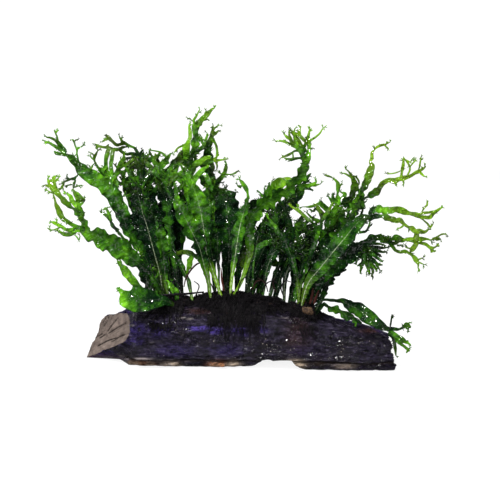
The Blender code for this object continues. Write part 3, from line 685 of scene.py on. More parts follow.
def driftwood():
    """The log: its rings, moved along their normals by fibres, lumps and chips, with a ledge, a crevice and
    bark under it along the near side, and an end face at each end."""
    ring = log_rings()
    round_ = np.roll(ring, -1, 1) - np.roll(ring, 1, 1)
    normal = unit(np.cross(round_, np.gradient(ring, axis=0)))
    normal *= np.sign((normal * (ring - ring.mean(1, keepdims=True))).sum(-1, keepdims=True))
    flat = ring.reshape(-1, 3)
    # lengthwise fibres, lumps, and short chips
    fibre = waves(flat, *FIBRE) * FIBRE_HIGH + waves(flat, *FINE_FIBRE) * FINE_HIGH
    chip = np.maximum(0, waves(flat, *CHIP) - 0.75) * CHIP_HIGH
    relief = (fibre + waves(flat, *SWELLING) * SWELLING_HIGH + chip) * MM
    low = np.clip((flat[:, 2] - 0.0005) / 0.004, 0, 1)
    flat = flat + normal.reshape(-1, 3) * (relief * (0.25 + 0.75 * low))[:, None]
    high, near = flat[:, 2] / MM, np.clip(-flat[:, 1] / 0.012, 0, 1)
    under = CREVICE_DEEP * bell(high, CREVICE_HEIGHT, 0.6) + LEDGE_OUT * bell(high, LEDGE_HEIGHT, 0.7)
    bulge = sum(far * bell(flat[:, 0] / MM, x, wide, 4) for x, wide, far in LUMPS)
    bulge = bulge * (1 + 0.35 * waves(flat, *BARK)) + 0.8 * waves(flat, *FINE_BARK)
    under = under + bulge * bell(high, LUMP_HEIGHT, 2.1)
    flat[:, 1] -= under * near * MM
    flat[:, 2] = np.maximum(flat[:, 2], 0.0)
    ring = flat.reshape(LOG_ROWS, LOG_AROUND, 3)
    # the ends close with shrinking rings: flat on the left, where it is sawn, and torn on the right
    inward = np.linspace(0.985, 0.03, LOG_CAP)[:, None, None]
    ends = ring[:1], ring[-1:]
    left, right = (end * inward + end.mean(1, keepdims=True) * (1 - inward) for end in ends)
    torn = waves(right.reshape(-1, 3), *TEAR).reshape(LOG_CAP, LOG_AROUND)
    right[..., 0] += (torn * 1.4 - 1.2 * (1 - inward[..., 0])) * MM * (1 - inward[..., 0] ** 6)
    cracks = groove(seen(left.reshape(-1, 3)), 0.7)
    saw = waves(left.reshape(-1, 3), *SAW_MARK) * 0.12 * MM
    left[..., 0] += (cracks * 0.8 * MM + saw).reshape(LOG_CAP, LOG_AROUND)
    skin = np.concatenate([left[::-1], ring, right])
    # where the colours are: sawn face, pale crust with a painted ledge highlight, painted violet sheen and
    # glints, rust, tan, painted shade in cracks, the crevice and hollows
    points = skin.reshape(-1, 3)
    at = seen(points)
    front = np.clip(-points[:, 1] / 0.01, 0, 1)
    low = np.clip(1 - points[:, 2] / 0.006, 0, 1)
    sawn = np.repeat(np.arange(len(skin)) <= LOG_CAP, LOG_AROUND)
    # painted shade along the crevice under the ledge
    crevice = 0.8 * bell(points[:, 2] / MM, CREVICE_HEIGHT, 0.55) * front
    fields = np.stack([
        sawn,
        # pale crust, with painted highlights along the ledge
        spots(at, PALE_CRUST_AND_LEDGE_HIGHLIGHT) * front + 0.30 * (1 - front) * low,
        # painted violet sheen and glints on the near side, and painted sheen all over the far side
        spots(at, PAINTED_VIOLET_SHEEN_AND_GLINTS) * front + 0.35 * (1 - front),
        spots(at, RUST) * front + 0.25 * (1 - front) * low,
        spots(at, TAN) * front,
        # painted shade in the sawn face's cracks, the crevice and the hollows
        np.where(sawn, groove(at, 0.65), np.maximum(crevice, spots(at, PAINTED_HOLLOW_SHADE) * front)),
    ], -1)
    heap = Heap()
    heap.sleeves(skin[None], fields.reshape(1, *skin.shape[:2], 6))
    heap.piece("wet_log", WOOD, "driftwood", ("cut", "rust"))


# Fronds

# Each frond: its name; depths at foot, middle and tip; turn about the middle line in degrees; tone (light,
# rib, yellow tips), where light is the frond's own green together with painted light and shade, low for
# fronds in the shaded interior and high for lit ones; lace on its upper third (how many strands, how long
# in metres); calm, the size of its waves; how pale its stalk is; its middle line. After each slash a strand
# of
# the crest: lean backwards for each millimetre of way, and its line. After a plus the narrow leaves beside
# it: depths at foot, middle and tip, lightness (with painted light and shade too), line. The left clump's
# fronds come first, then the centre's and the right's.
FRONDS = """
left_reach 0 -12 -20 25 0.48 0.3 0.35 4 0.005 1 0
166,297,2 158,283,4 145,258,9 129,232,12 119,207,13 110,191,14 99,181,13 88,175,13 80,168,9 73,160,7
67,155,4 / 0.15 68,156,4 63,150,6 60,145,5 58,141,2 57,136,1.8 54,130,1 / 0.15 56,133,1.8 57,131,1.5
59,130,1 / -0.3 62,148,4 56,141,3 51,138,2.6 46,137,1 / -0.3 65,153,4 58,148,3.4 52,144,2.8 47,142,2
45,141,1 / -0.2 54,146,2.2 49,143,2 46,143,1 / 0.4 66,155,3.5 60,154,3.2 56,153,3 54,151,1 / -0.2 79,161,2
77,154,1.8 77,150,2 75,145,1.6 74,141,2.2 72,139,1 / -0.2 74,142,1.6 76,140,1.5 78,140,1 / -0.2 77,150,1.4
81,147,1.2 85,144,1 / -0.2 84,172,4 79,174,3 76,177,2 71,179,2.2 66,181,2 61,184,1 / -0.2 70,179,1.8
67,177,1.5 67,175,1 / -0.2 76,176,2 75,181,1.6 72,184,1.8 65,186,1 / -0.2 75,180,1.8 74,185,1.8 73,189,1.2
/ -0.2 74,187,1.6 78,186,1.4 82,185,1 / -0.2 64,182,1.6 63,189,1.4 65,192,1.4 69,194,1

left_low -6 -24 -32 -20 0.6 0.35 0.55 4 0.005 0.8 0
165,295,2 150,274,7 137,262,12 124,252,17 110,242,19 98,236,18 88,231,13 84,223,9 82,216,8 / 0.4 83,218,8
78,212,7 72,207,6.5 67,203,6 63,199,5.5 59,195,5.4 55,190,7 52,184,8 54,178,4 56,176,1 / 0.4 55,188,6
50,184,4 48,179,2 / 0.4 52,188,4 48,186,3 45,185,1 / 0.4 57,194,2 52,193,1.6 45,189,1 / 0.4 54,182,4
57,180,2.6 58,178,1 / 0.4 57,190,3 61,188,2.4 63,184,1.4 / -0.15 82,214,7 79,206,8 80,200,9 77,195,6
74,192,3 73,189,1.4 / -0.3 79,203,6 83,200,5 84,197,2 / -0.1 78,207,5 73,201,5 70,196,4 66,193,1.4 / -0.1
85,228,6 79,228,5 73,225,4 68,222,3.6 63,219,5 60,213,6 57,206,5 55,199,2 53,194,1 / -0.2 80,230,6 72,230,5
66,229,4 60,226,3.4 55,223,4 51,222,1.4 / -0.2 76,230,5 70,234,4.4 64,234,4.4 60,232,3 57,229,1.4 / -0.2
56,223,2 57,221,1.2 57,219,1 / -0.2 60,227,1.6 53,230,1.4 47,228,1 / -0.2 73,233,2 77,237,1.6 79,240,1.4
80,236,1 + -9 -11 -13 0.22 152,294,3 148,284,10 146,274,13 143,265,11 138,256,4 / -8 -9 -10 0.42 158,294,2
156,287,5 153,280,6 151,275,3

left_lobe -8 -16 -23 10 0.66 0.3 0.4 0 0 0.6 0
152,299,2 143,292,5 133,281,8 125,271,9 120,264,5 / 0.4 121,266,5 117,260,1 / -0.3 121,265,4 120,259,1

left_shelf -12 -25 -27 30 0.47 0.25 0.2 0 0 0.25 0
175,301,2 165,301,9 155,300,15 145,300,20 135,299,23 127,297,20 122,292,10 / 0.4 123,293,7 119,289,3
120,287,1

left_dark 2 2 3 -25 0.1 1 0.3 8 0.0085 0.8 0.15
164,293,2.5 161,277,8 155,255,19 151,240,24 147,225,25 143,212,22 139,196,16 136,184,9 / 0.4 135,186,6
131,176,5 128,169,4.6 124,163,3.6 120,158,1.4 / 0.4 129,171,3 133,164,3 137,158,1.6 / -0.3 138,184,6
139,173,5 138,165,4.6 135,158,3.6 131,155,1.4 / -0.3 138,170,4 143,163,4 147,158,3 150,152,1 / 0.15
141,188,5 146,178,4 150,171,3.6 153,166,1.4

left_curl -5 -14 -20 15 0.4 0.45 0.3 0 0 1 0.3
168,293,2 165,275,5 163,255,10 161,240,11 159,228,9 / 0.4 159,230,5 155,217,1.4 / -0.3 160,230,5
161,218,1.4

crown_left 6 16 24 30 0.33 0.3 0.3 9 0.0085 1 0
172,290,2 166,262,6 158,235,12 151,208,13 147,185,11 143,168,8 139,157,6 / -0.3 140,159,5 137,152,3.5
134,148,2.6 130,146,2.8 123,142,4 121,139,2.6 119,136,1 / -0.3 125,143,4 117,144,4 112,141,3.6 108,137,4
105,135,1 / -0.3 110,139,3 105,140,2.6 102,142,1.2 / 0.4 131,146,2.4 124,147,3 117,149,3.8 110,148,3.4
103,147,2.8 98,146,3.2 95,144,1 / 0.4 99,146,2.4 96,149,1 / 0.4 106,147,2 109,144,1 / 0.4 139,156,4
133,154,3.6 126,154,3.4 121,151,3 118,149,2 / 0.1 145,166,5 146,158,4 147,153,1 / 0.1 141,160,4 140,154,2
142,150,1 / 0.1 145,164,5 151,160,6 157,157,4 160,152,1.4 / -0.1 146,176,6 140,169,5 135,165,4 129,163,2 /
0.2 148,184,6 154,175,6 158,167,5 163,160,2 / 0 138,158,4 130,158,3 124,160,3 119,165,1.6 / -0.4 150,196,5
158,188,6 167,183,6 176,180,3 / -0.5 146,180,4 152,174,4 160,172,4 168,173,1.6 / -0.45 147,190,5 142,181,5
140,172,4 143,166,1.6

crown_lace 5 9 14 -15 0.4 0.3 0.6 9 0.008 1 0
168,292,2 150,262,5 136,238,9 126,218,12 118,198,12 112,182,10 108,173,7 / 0.15 108,175,6 106,166,4
106,159,4.6 108,152,5 111,149,3 / 0.15 112,176,5 111,165,3.8 112,158,4.8 113,151,4 116,149,1.4 / -0.45
114,180,4 118,169,4 121,163,4.8 124,158,4 124,153,1.6 / -0.3 103,176,4 98,168,1.8 95,162,2 94,158,3.4
96,154,2.8 98,150,1 / -0.3 94,160,2 91,157,1.6 90,154,1 / -0.3 95,157,2 92,153,1 / -0.3 96,162,1.6
92,166,1.4 91,170,1 / 0.4 99,174,2 93,171,1.6 89,165,1 / -0.1 104,176,5 103,170,4 107,167,2 / -0.45
117,170,3 123,166,3 128,163,3.4 132,160,3 137,157,1.4 / 0.2 110,178,4 104,173,4 101,169,2 / 0.1 118,188,5
113,178,4.4 106,178,4.4 100,181,2

left_finger -3 -18 -25 -30 0.5 0.3 0.35 0 0 1 0
160,293,1.5 146,272,4 134,254,5 125,240,5 117,229,5 / 0.4 118,231,5 112,223,4 108,217,3.6 104,214,2.6
100,212,1 / -0.3 111,221,3.4 109,214,3.2 107,210,2.8 104,208,1 / -0.3 109,214,2 111,211,1 / -0.3 106,209,2
108,207,1

centre_left 6 22 32 20 0.08 0.2 0.25 9 0.009 1 0
178,293,2 175,268,6 172,240,18 168,215,23 163,195,20 157,178,13 / 0.4 155,182,7 151,171,6 147,163,5
143,156,3.6 141,151,1 / -0.3 158,181,6 158,169,6 157,161,5 152,156,3 149,151,1 / 0.15 161,183,6 166,172,5
171,166,4.6 173,159,1.4

back_left 9 32 46 -30 0.1 0.2 0.2 8 0.0085 1 0
170,292,2.5 159,262,10 149,232,17 141,208,16 134,192,11 / 0.4 131,194,6 127,182,5 122,174,4 116,166,2
113,163,1 / -0.3 135,193,6 134,181,5 132,173,4.6 129,163,1.4 / 0 138,196,5 143,184,4.6 149,176,2

back_left_low 8 26 40 22 0.14 0.3 0.2 0 0 1 0
160,292,2.5 152,272,8 146,254,11 140,241,10 / 0.4 138,243,4 129,226,1.4 / -0.3 140,242,4 135,221,1.4 / 0.15
142,243,4 142,226,1.4

left_young -9 -12 -13 10 0.66 0.2 0.3 0 0 1 0
178,297,1.5 175,292,7 171,287,7 / 0.4 171,288,6 168,281,1.4 / -0.3 173,288,5 171,282,1.4

crown_middle 4 9 12 -20 0.35 0.3 0.35 8 0.0085 1 0
180,292,2 175,262,6 171,235,10 169,210,12 168,190,12 166,176,9 / 0.4 164,180,7 158,168,6 154,161,5
156,156,3 155,153,1 / -0.3 169,176,8 173,166,8 179,158,7 182,151,3 / -0.3 168,164,4 165,156,2.6 160,152,2
155,151,1.6 150,150,1 / 0.1 165,178,7 162,168,7 166,160,6 171,153,1.4 / 0.2 163,180,5 153,170,6 147,163,4
143,161,1.6 / -0.2 169,186,7 176,178,7 184,173,7 193,170,3 / -0.35 167,196,5 174,191,6 180,188,5
184,182,1.6 / -0.4 168,178,5 175,171,5 180,162,4 187,157,1.6 / -0.4 170,200,4 163,193,4 158,186,3
156,179,1.4

crown_fill 9 19 21 20 0.33 0.3 0.35 9 0.0085 1 0
176,291,2.5 158,262,6 146,238,10 138,214,11 131,196,10 124,183,8 / -0.3 121,186,3 116,178,2.8 121,172,2.6
127,171,2.6 134,170,1.6 / 0.15 128,188,4 131,174,4 134,167,4 138,162,2 / 0 124,184,4 124,175,3 127,168,3
133,164,1.6 / 0.1 124,184,4 129,178,4 137,176,2

rear_left 8 40 56 15 0.12 0.3 0.2 0 0 1 0
176,291,2 171,262,7 170,238,12 171,218,11 / 0.4 169,220,4 166,204,1.4 / -0.3 171,219,4 173,200,1.4 / 0.15
173,220,4 179,206,1.4

top_crest 4 6 10 20 0.52 0.35 0.6 6 0.006 1 0
209,294,2 207,266,4 203,240,9 196,213,12 189,188,12 187,166,13 193,152,11 195,140,8 / 0 195,142,8 195,132,6
196,127,8 198,122,6 / -0.3 197,126,7 202,120,6 206,116,4.8 210,111,3.8 214,108,1.6 / -0.3 204,119,3
205,114,2.2 206,111,1 / -0.3 204,120,3 208,119,1.2 / 0.4 194,126,4 194,120,2.8 197,115,1.9 200,109,1 / 0.4
194,122,1.6 190,119,1.4 187,118,1 / 0.2 186,172,9 184,164,9 184,156,9 186,149,8 188,143,5 190,137,3.8
190,130,3.8 189,124,1.2 / 0.2 188,143,2.6 181,146,2.4 177,149,1.8 174,153,1 / -0.3 186,180,5 190,169,6
198,163,6.4 205,159,5 211,156,1.6 / -0.3 186,186,4 180,180,5 176,174,5 170,170,1.6 / -0.3 192,154,7
198,150,6 203,147,4 206,142,1.4

top_right 8 16 24 -25 0.44 0.4 0.6 6 0.007 1 0
216,292,2 213,262,6 210,235,12 210,208,13 208,185,13 207,166,12 207,153,9 / -0.3 207,156,8 208,147,7
210,141,6 212,135,4.6 213,129,3.2 213,125,1 / -0.3 213,130,2 216,127,1.8 219,125,1 / -0.3 212,136,3
216,133,2.8 219,130,1 / 0.4 206,152,4 206,141,3.4 207,136,2.4 207,133,1 / 0.4 206,142,2 203,139,1.6
201,136,1 / 0.4 205,148,4 201,140,3 197,135,1.6 / 0.15 212,139,3.6 215,144,3.6 217,149,2.8 217,155,2.4
215,160,4 220,160,2.2 228,159,1 / 0.15 215,160,3 217,165,2.2 217,169,1 / 0.15 217,157,2.2 219,154,1 / 0.1
209,152,4 213,156,3.4 211,162,5 213,168,4 212,174,1.4 / 0.3 206,168,8 212,176,6 214,184,4 210,190,2 + 8 10
11 0.34 219,292,2 219,272,2.5 218,252,6 217,228,12 216,204,12 213,190,5

front_left -7 -22 -30 25 0.43 0.9 0.35 0 0 1 0.55
211,300,2 208,280,4 204,266,7 199,248,13 192,233,17 186,220,16 180,208,12 175,200,7 / 0.4 175,202,5
170,195,4 166,188,1.2 / -0.3 177,201,5 176,191,4 175,183,1.2 / 0.6 210,255,3 204,257,5 197,256,6.5
190,253,6 184,252,5 176,254,3 / 0.3 192,255,5 191,261,6.5 189,267,5.5 187,273,1.6

front_bright -7 -18 -26 -15 0.5 1 0.3 0 0 1 0.9
222,301,2.6 217,283,4 211,264,7 207,252,9 205,236,12 202,218,18 199,204,18 195,192,13 192,184,9 / 0.4
191,187,7 186,177,6 180,174,5 173,178,4 169,186,1.4 / -0.3 194,186,6 196,177,6 203,170,5 208,166,1.4 / 0.15
191,186,6 188,174,5 184,167,4 178,163,1.4

centre_dark 0 4 6 25 0.14 0.3 0.3 4 0.006 1 0
226,294,2 227,272,7 229,250,15 229,228,23 226,208,24 222,196,18 217,189,10 / -0.3 214,193,7 216,186,6
219,180,5 222,176,4.6 225,172,4.2 226,167,3.8 226,163,1 / -0.3 224,174,2.4 230,175,1.8 235,173,1.9
239,170,1.2 / -0.3 223,175,1.6 218,172,1 / -0.3 223,176,1.8 227,177,1 / -0.3 218,182,1.6 224,183,1 / 0.4
214,192,5 209,182,5 206,176,5 201,171,1.6

centre_narrow -4 -10 -13 -20 0.4 1 0.3 0 0 1 0.9
230,293,2 233,270,4 236,250,8 239,232,12 243,216,11 247,204,7 249,197,4 / 0.4 249,199,3.6 248,193,4
245,187,4.6 242,182,3.6 239,179,1.2 / 0.4 243,184,2.4 240,187,2 237,185,1

arch_right -6 -6 -12 20 0.54 0.35 0.9 4 0.005 1 0.6
231,304,2.4 240,284,3.2 247,264,4.6 250,250,7 249,236,10 249,222,13 257,209,14 270,199,15 282,192,15
294,182,12 303,170,10 305,161,9 / 0.15 306,163,8 309,152,4.4 309,145,4.4 308,138,4.4 309,132,2 310,127,1 /
-0.3 304,158,5 300,150,5 296,146,5 292,142,4 290,137,3.2 289,130,1.4 / 0.4 297,147,4 291,145,3.2
286,142,2.8 281,141,2 276,141,1 / -0.1 306,152,4 302,146,3.4 299,141,3.2 295,136,3.2 291,132,2 / 0.2
292,140,3 287,137,3 284,134,1.2 / 0 307,143,4 301,137,3.4 297,134,2.8 291,131,1.4 / 0.15 306,142,3.4
301,137,2.2 300,131,1.8 300,125,1.2 / -0.3 298,146,3.4 295,139,3.2 294,133,2.2 295,128,1 / 0 299,137,2.4
298,130,1.2 / -0.45 309,142,2.6 313,139,2.2 317,136,2 320,133,1.7 323,128,1 / 0 308,149,2.4 313,148,1 / 0.4
304,159,4 299,158,2.8 294,159,2.8 291,161,1.4 / 0.4 295,159,2.4 288,159,2 284,158,1.2 / 0.3 298,150,3.2
293,152,2.8 288,155,2.6 281,158,1.2 / 0.3 293,152,1.8 293,158,1.4 / 0.1 304,158,4 303,150,4 305,145,3
306,139,2 / 0.2 266,202,12 273,190,13 279,184,12 286,181,9 292,179,3 / 0.2 273,188,6 272,181,1.4 / -0.2
299,188,8 305,185,5 311,185,4 316,182,2.2 315,179,1 / -0.2 309,185,4 315,185,3 320,184,1 / 0.1 264,200,2
261,194,1.8 257,190,1

arch_back 3 12 16 -30 0.12 0.3 0.3 7 0.007 1 0
246,293,2 256,268,7 266,245,12 276,225,14 286,208,14 296,195,13 303,185,8 / 0.4 303,187,6 306,180,4
311,173,1.4 / -0.3 302,188,6 308,188,4 312,190,1.4 + 4 6 8 0.14 268,292,3 276,272,6 284,252,9 292,236,9
300,222,6 303,214,3 / 3 4 5 0.2 262,293,2.5 266,270,5 271,250,8 274,232,9 275,218,6 274,210,3 / 6 6 7 0.17
300,300,3 296,276,6 291,255,9 290,232,9 286,214,6 283,205,3 / 9 10 12 0.1 302,300,3 293,268,8 284,244,10
275,226,8 268,213,4 / 3 3 4 0.15 292,299,2.5 299,280,6 303,262,9 301,246,8 297,234,4 / 10 13 15 0.1
245,292,2.5 250,268,7 255,246,9 261,230,9 267,219,4

small_oval -2 -8 -12 0 0.46 0.3 0.3 0 0 0.3 0
253,292,1.5 253,272,1.5 255,256,2 259,247,6 265,243,7 / 0.4 264,243,5 271,240,1 / -0.3 264,244,5 270,244,1

centre_young -4 -8 -10 15 0.34 0.7 0.3 0 0 1 0.5
193,295,2.2 189,284,4 184,272,5.5 180,264,6 176,256,5 / 0.4 177,258,4 173,250,1 / -0.3 178,259,4 172,252,1

centre_fill 5 10 12 30 0.14 0.3 0.3 0 0 1 0
223,292,2 225,266,6 226,240,11 226,216,11 228,201,9 / 0.4 227,203,5 226,187,1.4 / -0.3 229,203,5
236,192,1.4

dark_low 0 -2 0 15 0.12 0.6 0.3 7 0.0075 1 0
262,292,2 266,272,6 273,254,9 281,241,7 / 0.4 280,243,5 290,231,1.4 / -0.3 279,244,5 287,238,1.4

dark_high 10 18 22 -20 0.08 0.4 0.3 7 0.0075 1 0
252,292,2 254,266,6 257,244,9 262,226,8 / 0.4 262,228,5 266,214,1.4 / -0.3 261,228,5 270,211,1.4 / -0.2
254,258,4 248,247,6 245,254,9 243,262,8 242,269,2 / -0.1 256,250,5 264,254,10 271,260,11 277,265,6

dark_right 3 0 -2 10 0.12 0.6 0.3 7 0.0075 1 0
284,298,2 285,280,5 290,263,8 298,250,6 / 0.4 297,252,5 301,240,1.4 / -0.3 297,252,5 306,241,1.4

rear_centre 8 42 58 -15 0.1 0.3 0.2 0 0 1 0
226,291,2.5 231,264,9 238,240,15 243,222,13 / 0.4 241,225,5 240,208,1.4 / -0.3 243,224,5 246,205,1.4 / 0.15
245,225,5 252,211,1.4

back_centre 8 30 44 25 0.08 0.3 0.2 9 0.0085 1 0
236,292,2.5 238,262,9 242,236,17 250,214,18 261,202,14 / 0.4 258,206,6 266,193,4 270,182,1.4 / -0.3
260,204,7 275,192,4 286,184,1.4 / 0.4 266,194,3 264,187,1 + 12 20 26 0.06 248,292,2 256,262,8 262,240,12
270,222,12 281,206,7 288,198,3

back_low 7 24 34 -20 0.1 0.3 0.2 8 0.008 1 0
258,292,2.5 265,268,9 276,248,14 290,236,14 302,228,10 / 0.4 300,229,5 314,216,1.4 / -0.3 300,230,5
318,222,1.4 / 0.15 299,232,5 317,231,1.4 + 10 18 24 0.07 288,298,4 296,272,9 304,252,10 310,238,8 314,228,4
/ 9 15 20 0.1 272,293,4 283,270,8 296,252,10 306,240,7 313,232,3 / 11 16 20 0.12 256,292,3 262,268,6
270,246,9 280,228,9 288,216,4 / 8 11 14 0.08 250,293,3 258,276,7 266,262,9 276,250,9 284,241,5

back_top 9 32 48 15 0.16 0.3 0.3 7 0.008 1 0
183,292,2.5 180,272,5 179,254,7 181,234,11 182,205,15 186,184,11 / 0.4 184,188,6 184,168,5 177,158,1.4 /
-0.3 187,187,6 194,168,5 196,152,1.4 / -0.3 194,168,4 201,163,3 204,158,1

narrow_right 0 -6 -8 -15 0.24 0.5 0.4 0 0 1 0.5
300,300,2 297,280,4 294,265,6 289,250,8 283,236,8 275,227,6 / 0.4 277,229,5 263,221,1.2 / -0.3 277,228,5
267,217,1.2

right_fork -7 -18 -24 10 0.42 0.3 0.7 0 0 1 0.5
298,305,2.5 300,288,3 305,272,3.4 311,252,4.4 316,240,5 319,231,4 / 0.4 319,233,4 314,224,4 307,218,3.6
300,212,3.6 294,208,2.6 288,204,1 / 0.4 299,211,2.2 297,205,1 / -0.2 320,232,4 322,222,4 321,214,4.4
318,208,4 315,204,1.2 / -0.3 322,221,4 326,214,4 330,208,3 333,202,1.2

right_tall 2 9 14 25 0.4 0.35 0.75 4 0.006 1 0
308,301,2.5 317,280,10 328,258,15 339,236,18 349,218,17 357,205,13 361,197,10 / 0.4 360,198,8 362,190,8.4
366,181,8.4 370,172,8.4 372,166,6 370,162,2.4 372,158,3.8 372,153,3.2 374,150,1.6 377,147,2.4 382,145,3.2
386,144,2.4 390,142,1 / 0.4 384,145,2 389,149,1 / -0.3 360,200,6 368,196,6 373,193,8.4 378,189,8.4
382,184,5.4 388,180,4.4 394,181,6.4 399,179,4.4 404,178,5.4 410,176,3.4 415,173,3.6 419,171,4.6 422,169,2.6
426,166,1 / -0.3 419,172,3.4 425,177,1 / -0.3 418,171,3 420,164,2 421,157,1 / -0.2 402,179,4 402,171,3.2
403,165,3.6 404,157,1.4 / -0.1 404,158,2 408,163,2 410,169,2 407,176,1.6 / -0.2 406,160,1.8 410,162,1.6
412,159,1 / -0.2 409,168,1.8 413,163,1.6 416,160,1 / 0.1 402,170,1.4 395,173,1.4 388,174,1 / -0.3 403,180,3
404,184,1 / -0.2 394,182,4 397,185,1.4

right_lacy 6 20 28 -25 0.4 0.3 0.5 9 0.0085 1 0
306,299,2.5 312,278,9 320,256,14 328,236,16 334,220,16 341,207,14 / 0.4 338,206,7 337,196,5 338,191,4.2
338,186,4.8 337,182,3 333,178,1.6 328,176,2.4 324,175,1 / 0.4 339,188,2.2 342,183,1 / -0.3 343,206,7
350,198,8 354,189,8.4 354,182,6.4 352,176,3.2 349,172,2.2 345,168,1 / -0.3 353,179,2.6 348,175,2.2
342,173,1 / -0.3 356,187,2.4 359,183,2.4 357,178,2 354,176,1 / -0.2 330,212,6 321,204,5 316,205,3.2
309,207,2.4 303,207,1 / -0.2 325,216,5 317,209,4 313,211,2.6 309,209,1 / -0.2 322,222,4 314,219,3.2
310,216,2.4 306,212,1 / 0 324,207,4 321,200,1 / 0 334,204,5 328,196,1.4 / 0.1 342,200,5 345,194,4
340,192,1.4 / 0 337,204,5 333,198,4 333,193,1.4 / 0.3 346,212,7 354,203,6 360,194,4 362,190,1.6

right_midrib -9 -26 -33 -20 0.25 1 0.6 0 0 0.4 0.3
301,304,2.5 308,284,8 320,268,14 333,252,17 345,238,17 355,226,14 363,219,9 370,217,6 / 0.4 368,218,6
374,212,8.4 380,210,8.4 388,211,7.8 394,210,6.4 400,210,6.4 405,212,6.4 409,213,3.8 414,214,4.4 419,216,5.4
424,217,3.4 430,217,4.2 434,213,3.4 438,210,2.8 443,207,1 / 0.4 420,215,2.8 424,208,1.8 427,205,2.2
427,200,1 / 0.4 418,214,2.8 424,213,2.6 431,212,2.8 436,211,1.6 / 0.3 421,218,2.6 427,223,2 430,227,2.4
433,224,1 / -0.1 368,219,5 378,217,6 385,217,7.4 390,219,5.4 396,221,5.4 400,220,5.4 404,224,3 408,227,3
412,228,5.4 415,231,4.4 419,231,5.4 424,232,3.8 429,229,1 / 0.1 404,225,2.2 400,228,1.6 397,228,1 / 0.1
415,231,5 416,237,5 416,243,5 413,249,5 411,252,1.6 / -0.3 415,239,4 408,239,3 403,240,1.4 / -0.2 370,217,3
372,209,4 376,207,2

right_low -5 -16 -21 20 0.25 0.3 0.65 4 0.005 1 0
304,304,2.5 318,284,8 332,266,14 345,254,16 358,245,13 370,239,9 379,237,8.4 386,238,6 / 0.4 384,238,6
390,239,3.8 396,238,7 402,240,5 406,240,2.4 411,240,4.4 416,240,6.6 421,239,5.4 426,239,2.4 431,240,1.8
434,238,3.2 437,238,5 441,240,1 / 0.4 436,238,2.2 440,235,2 444,234,1.6 447,235,1 / 0.1 418,242,4
425,244,3.4 429,247,3.4 432,249,4 431,253,1 / -0.3 431,248,2.8 435,247,2.2 439,244,1 / -0.3 432,250,2.2
435,252,1 / 0.15 416,241,5 415,246,4.6 412,250,4.6 410,252,1.4 / 0.15 413,249,2.2 408,248,1.6 405,247,1 /
-0.12 380,241,4 388,243,4.8 392,246,3.8 395,250,3.2 400,252,3.2 405,251,3.2 409,253,2.6 413,256,3.4
416,260,5 418,264,3 418,268,1.4 420,271,1 / -0.2 417,260,2.4 422,258,1 / -0.2 418,262,2 423,264,1 / -0.1
388,241,4 395,243,3.6 399,241,3 403,240,1.4 / -0.2 397,246,2.6 402,245,1

right_fan -3 -6 -5 -15 0.12 0.2 0.5 7 0.007 1 0
306,300,2.5 318,284,12 331,268,18 345,257,19 356,250,14 363,250,11 367,254,9 / -0.45 365,253,7 363,262,4.4
361,268,3 360,274,1 / -0.45 363,260,3.4 359,265,2.2 357,266,1 / 0.15 366,255,6 367,265,3.8 369,270,3.2
369,274,1 / 0.15 368,260,4 371,267,3.4 373,272,2.8 371,277,1 / 0.15 369,257,4.4 373,265,3.4 376,269,2.8
377,272,1 / -0.3 368,254,5 374,261,3.8 378,264,2.8 383,265,1 / -0.3 374,260,3.4 378,267,2.4 380,270,1 /
-0.3 369,252,5 376,257,3.8 380,260,2.6 383,262,1 / 0.4 369,251,4.6 377,254,3.4 382,257,1 / 0.4 368,249,4.6
378,251,3.4 383,252,2.2 387,251,1 / 0.4 367,248,4.6 377,247,3.4 383,248,2.6 388,247,1 / 0 369,262,3.4
369,268,2.6 366,273,1 / 0.2 364,249,4 372,244,3.4 380,244,2.4 385,245,1 / 0 361,256,5 357,260,3 356,264,1

right_droop -12 -24 -32 15 0.28 0.4 0.3 0 0 0.5 0
314,304,2.5 321,301,2.6 332,300,3.6 342,301,7 350,305,12 358,309,14 366,315,14 374,321,12 382,326,8
389,330,5 / 0.4 387,329,5 394,329,3.6 399,329,2.4 403,327,3.8 407,325,5.4 411,327,1.6 / 0.4 404,326,3
408,324,2.2 410,322,1 / 0.4 405,327,2.4 409,330,1 / -0.2 390,329,2.6 391,322,1.8 392,314,1 / -0.1 388,331,5
396,336,5.4 401,340,4.4 406,342,3.2 411,345,1 / -0.3 396,336,4 402,338,3.2 406,340,1 / 0 393,335,4
397,341,3.8 401,344,3.2 405,347,3 408,350,2.8 406,353,1 / 0.15 390,332,4 394,341,3.6 395,348,3.2 396,356,1

right_droop_low -14 -31 -34 25 0.3 0.35 0.3 0 0 1 0
315,306,2 323,305,3.6 330,307,7 338,310,9 346,314,9 353,318,7 / 0.4 351,317,6 358,321,4 362,323,1 / -0.3
352,318,4 357,325,1

right_dark -1 1 2 20 0.08 0.2 0.3 5 0.006 0.5 0
309,301,2.5 322,276,9 334,256,14 346,240,14 356,230,10 / 0.4 355,232,5 366,222,1.4 / -0.3 354,233,4
362,232,3 366,231,2.6 369,226,2.2 370,221,1 / -0.3 368,227,1.8 372,225,1

rear_right 9 43 60 -15 0.1 0.3 0.2 0 0 1 0
312,299,2.5 321,276,10 329,257,15 335,243,12 / 0.4 333,246,5 334,231,1.4 / -0.3 335,245,5 340,228,1.4 /
0.15 336,246,5 345,236,1.4

rear_far_right 6 30 44 20 0.1 0.3 0.2 0 0 1 0
314,300,2.5 328,282,9 340,265,13 351,251,10 / 0.4 350,253,5 358,243,1.4 / -0.3 350,254,5 361,249,1.4

back_right 8 32 46 20 0.12 0.3 0.2 8 0.008 1 0
308,299,2.5 316,276,11 328,254,16 338,236,15 346,222,10 / 0.4 344,225,5 343,209,1.4 / -0.3 345,224,5
351,205,1.4 / 0.15 347,225,5 359,208,1.4 / -0.4 347,226,4 356,222,3 362,212,2.4 363,204,2.2 367,201,1 + 10
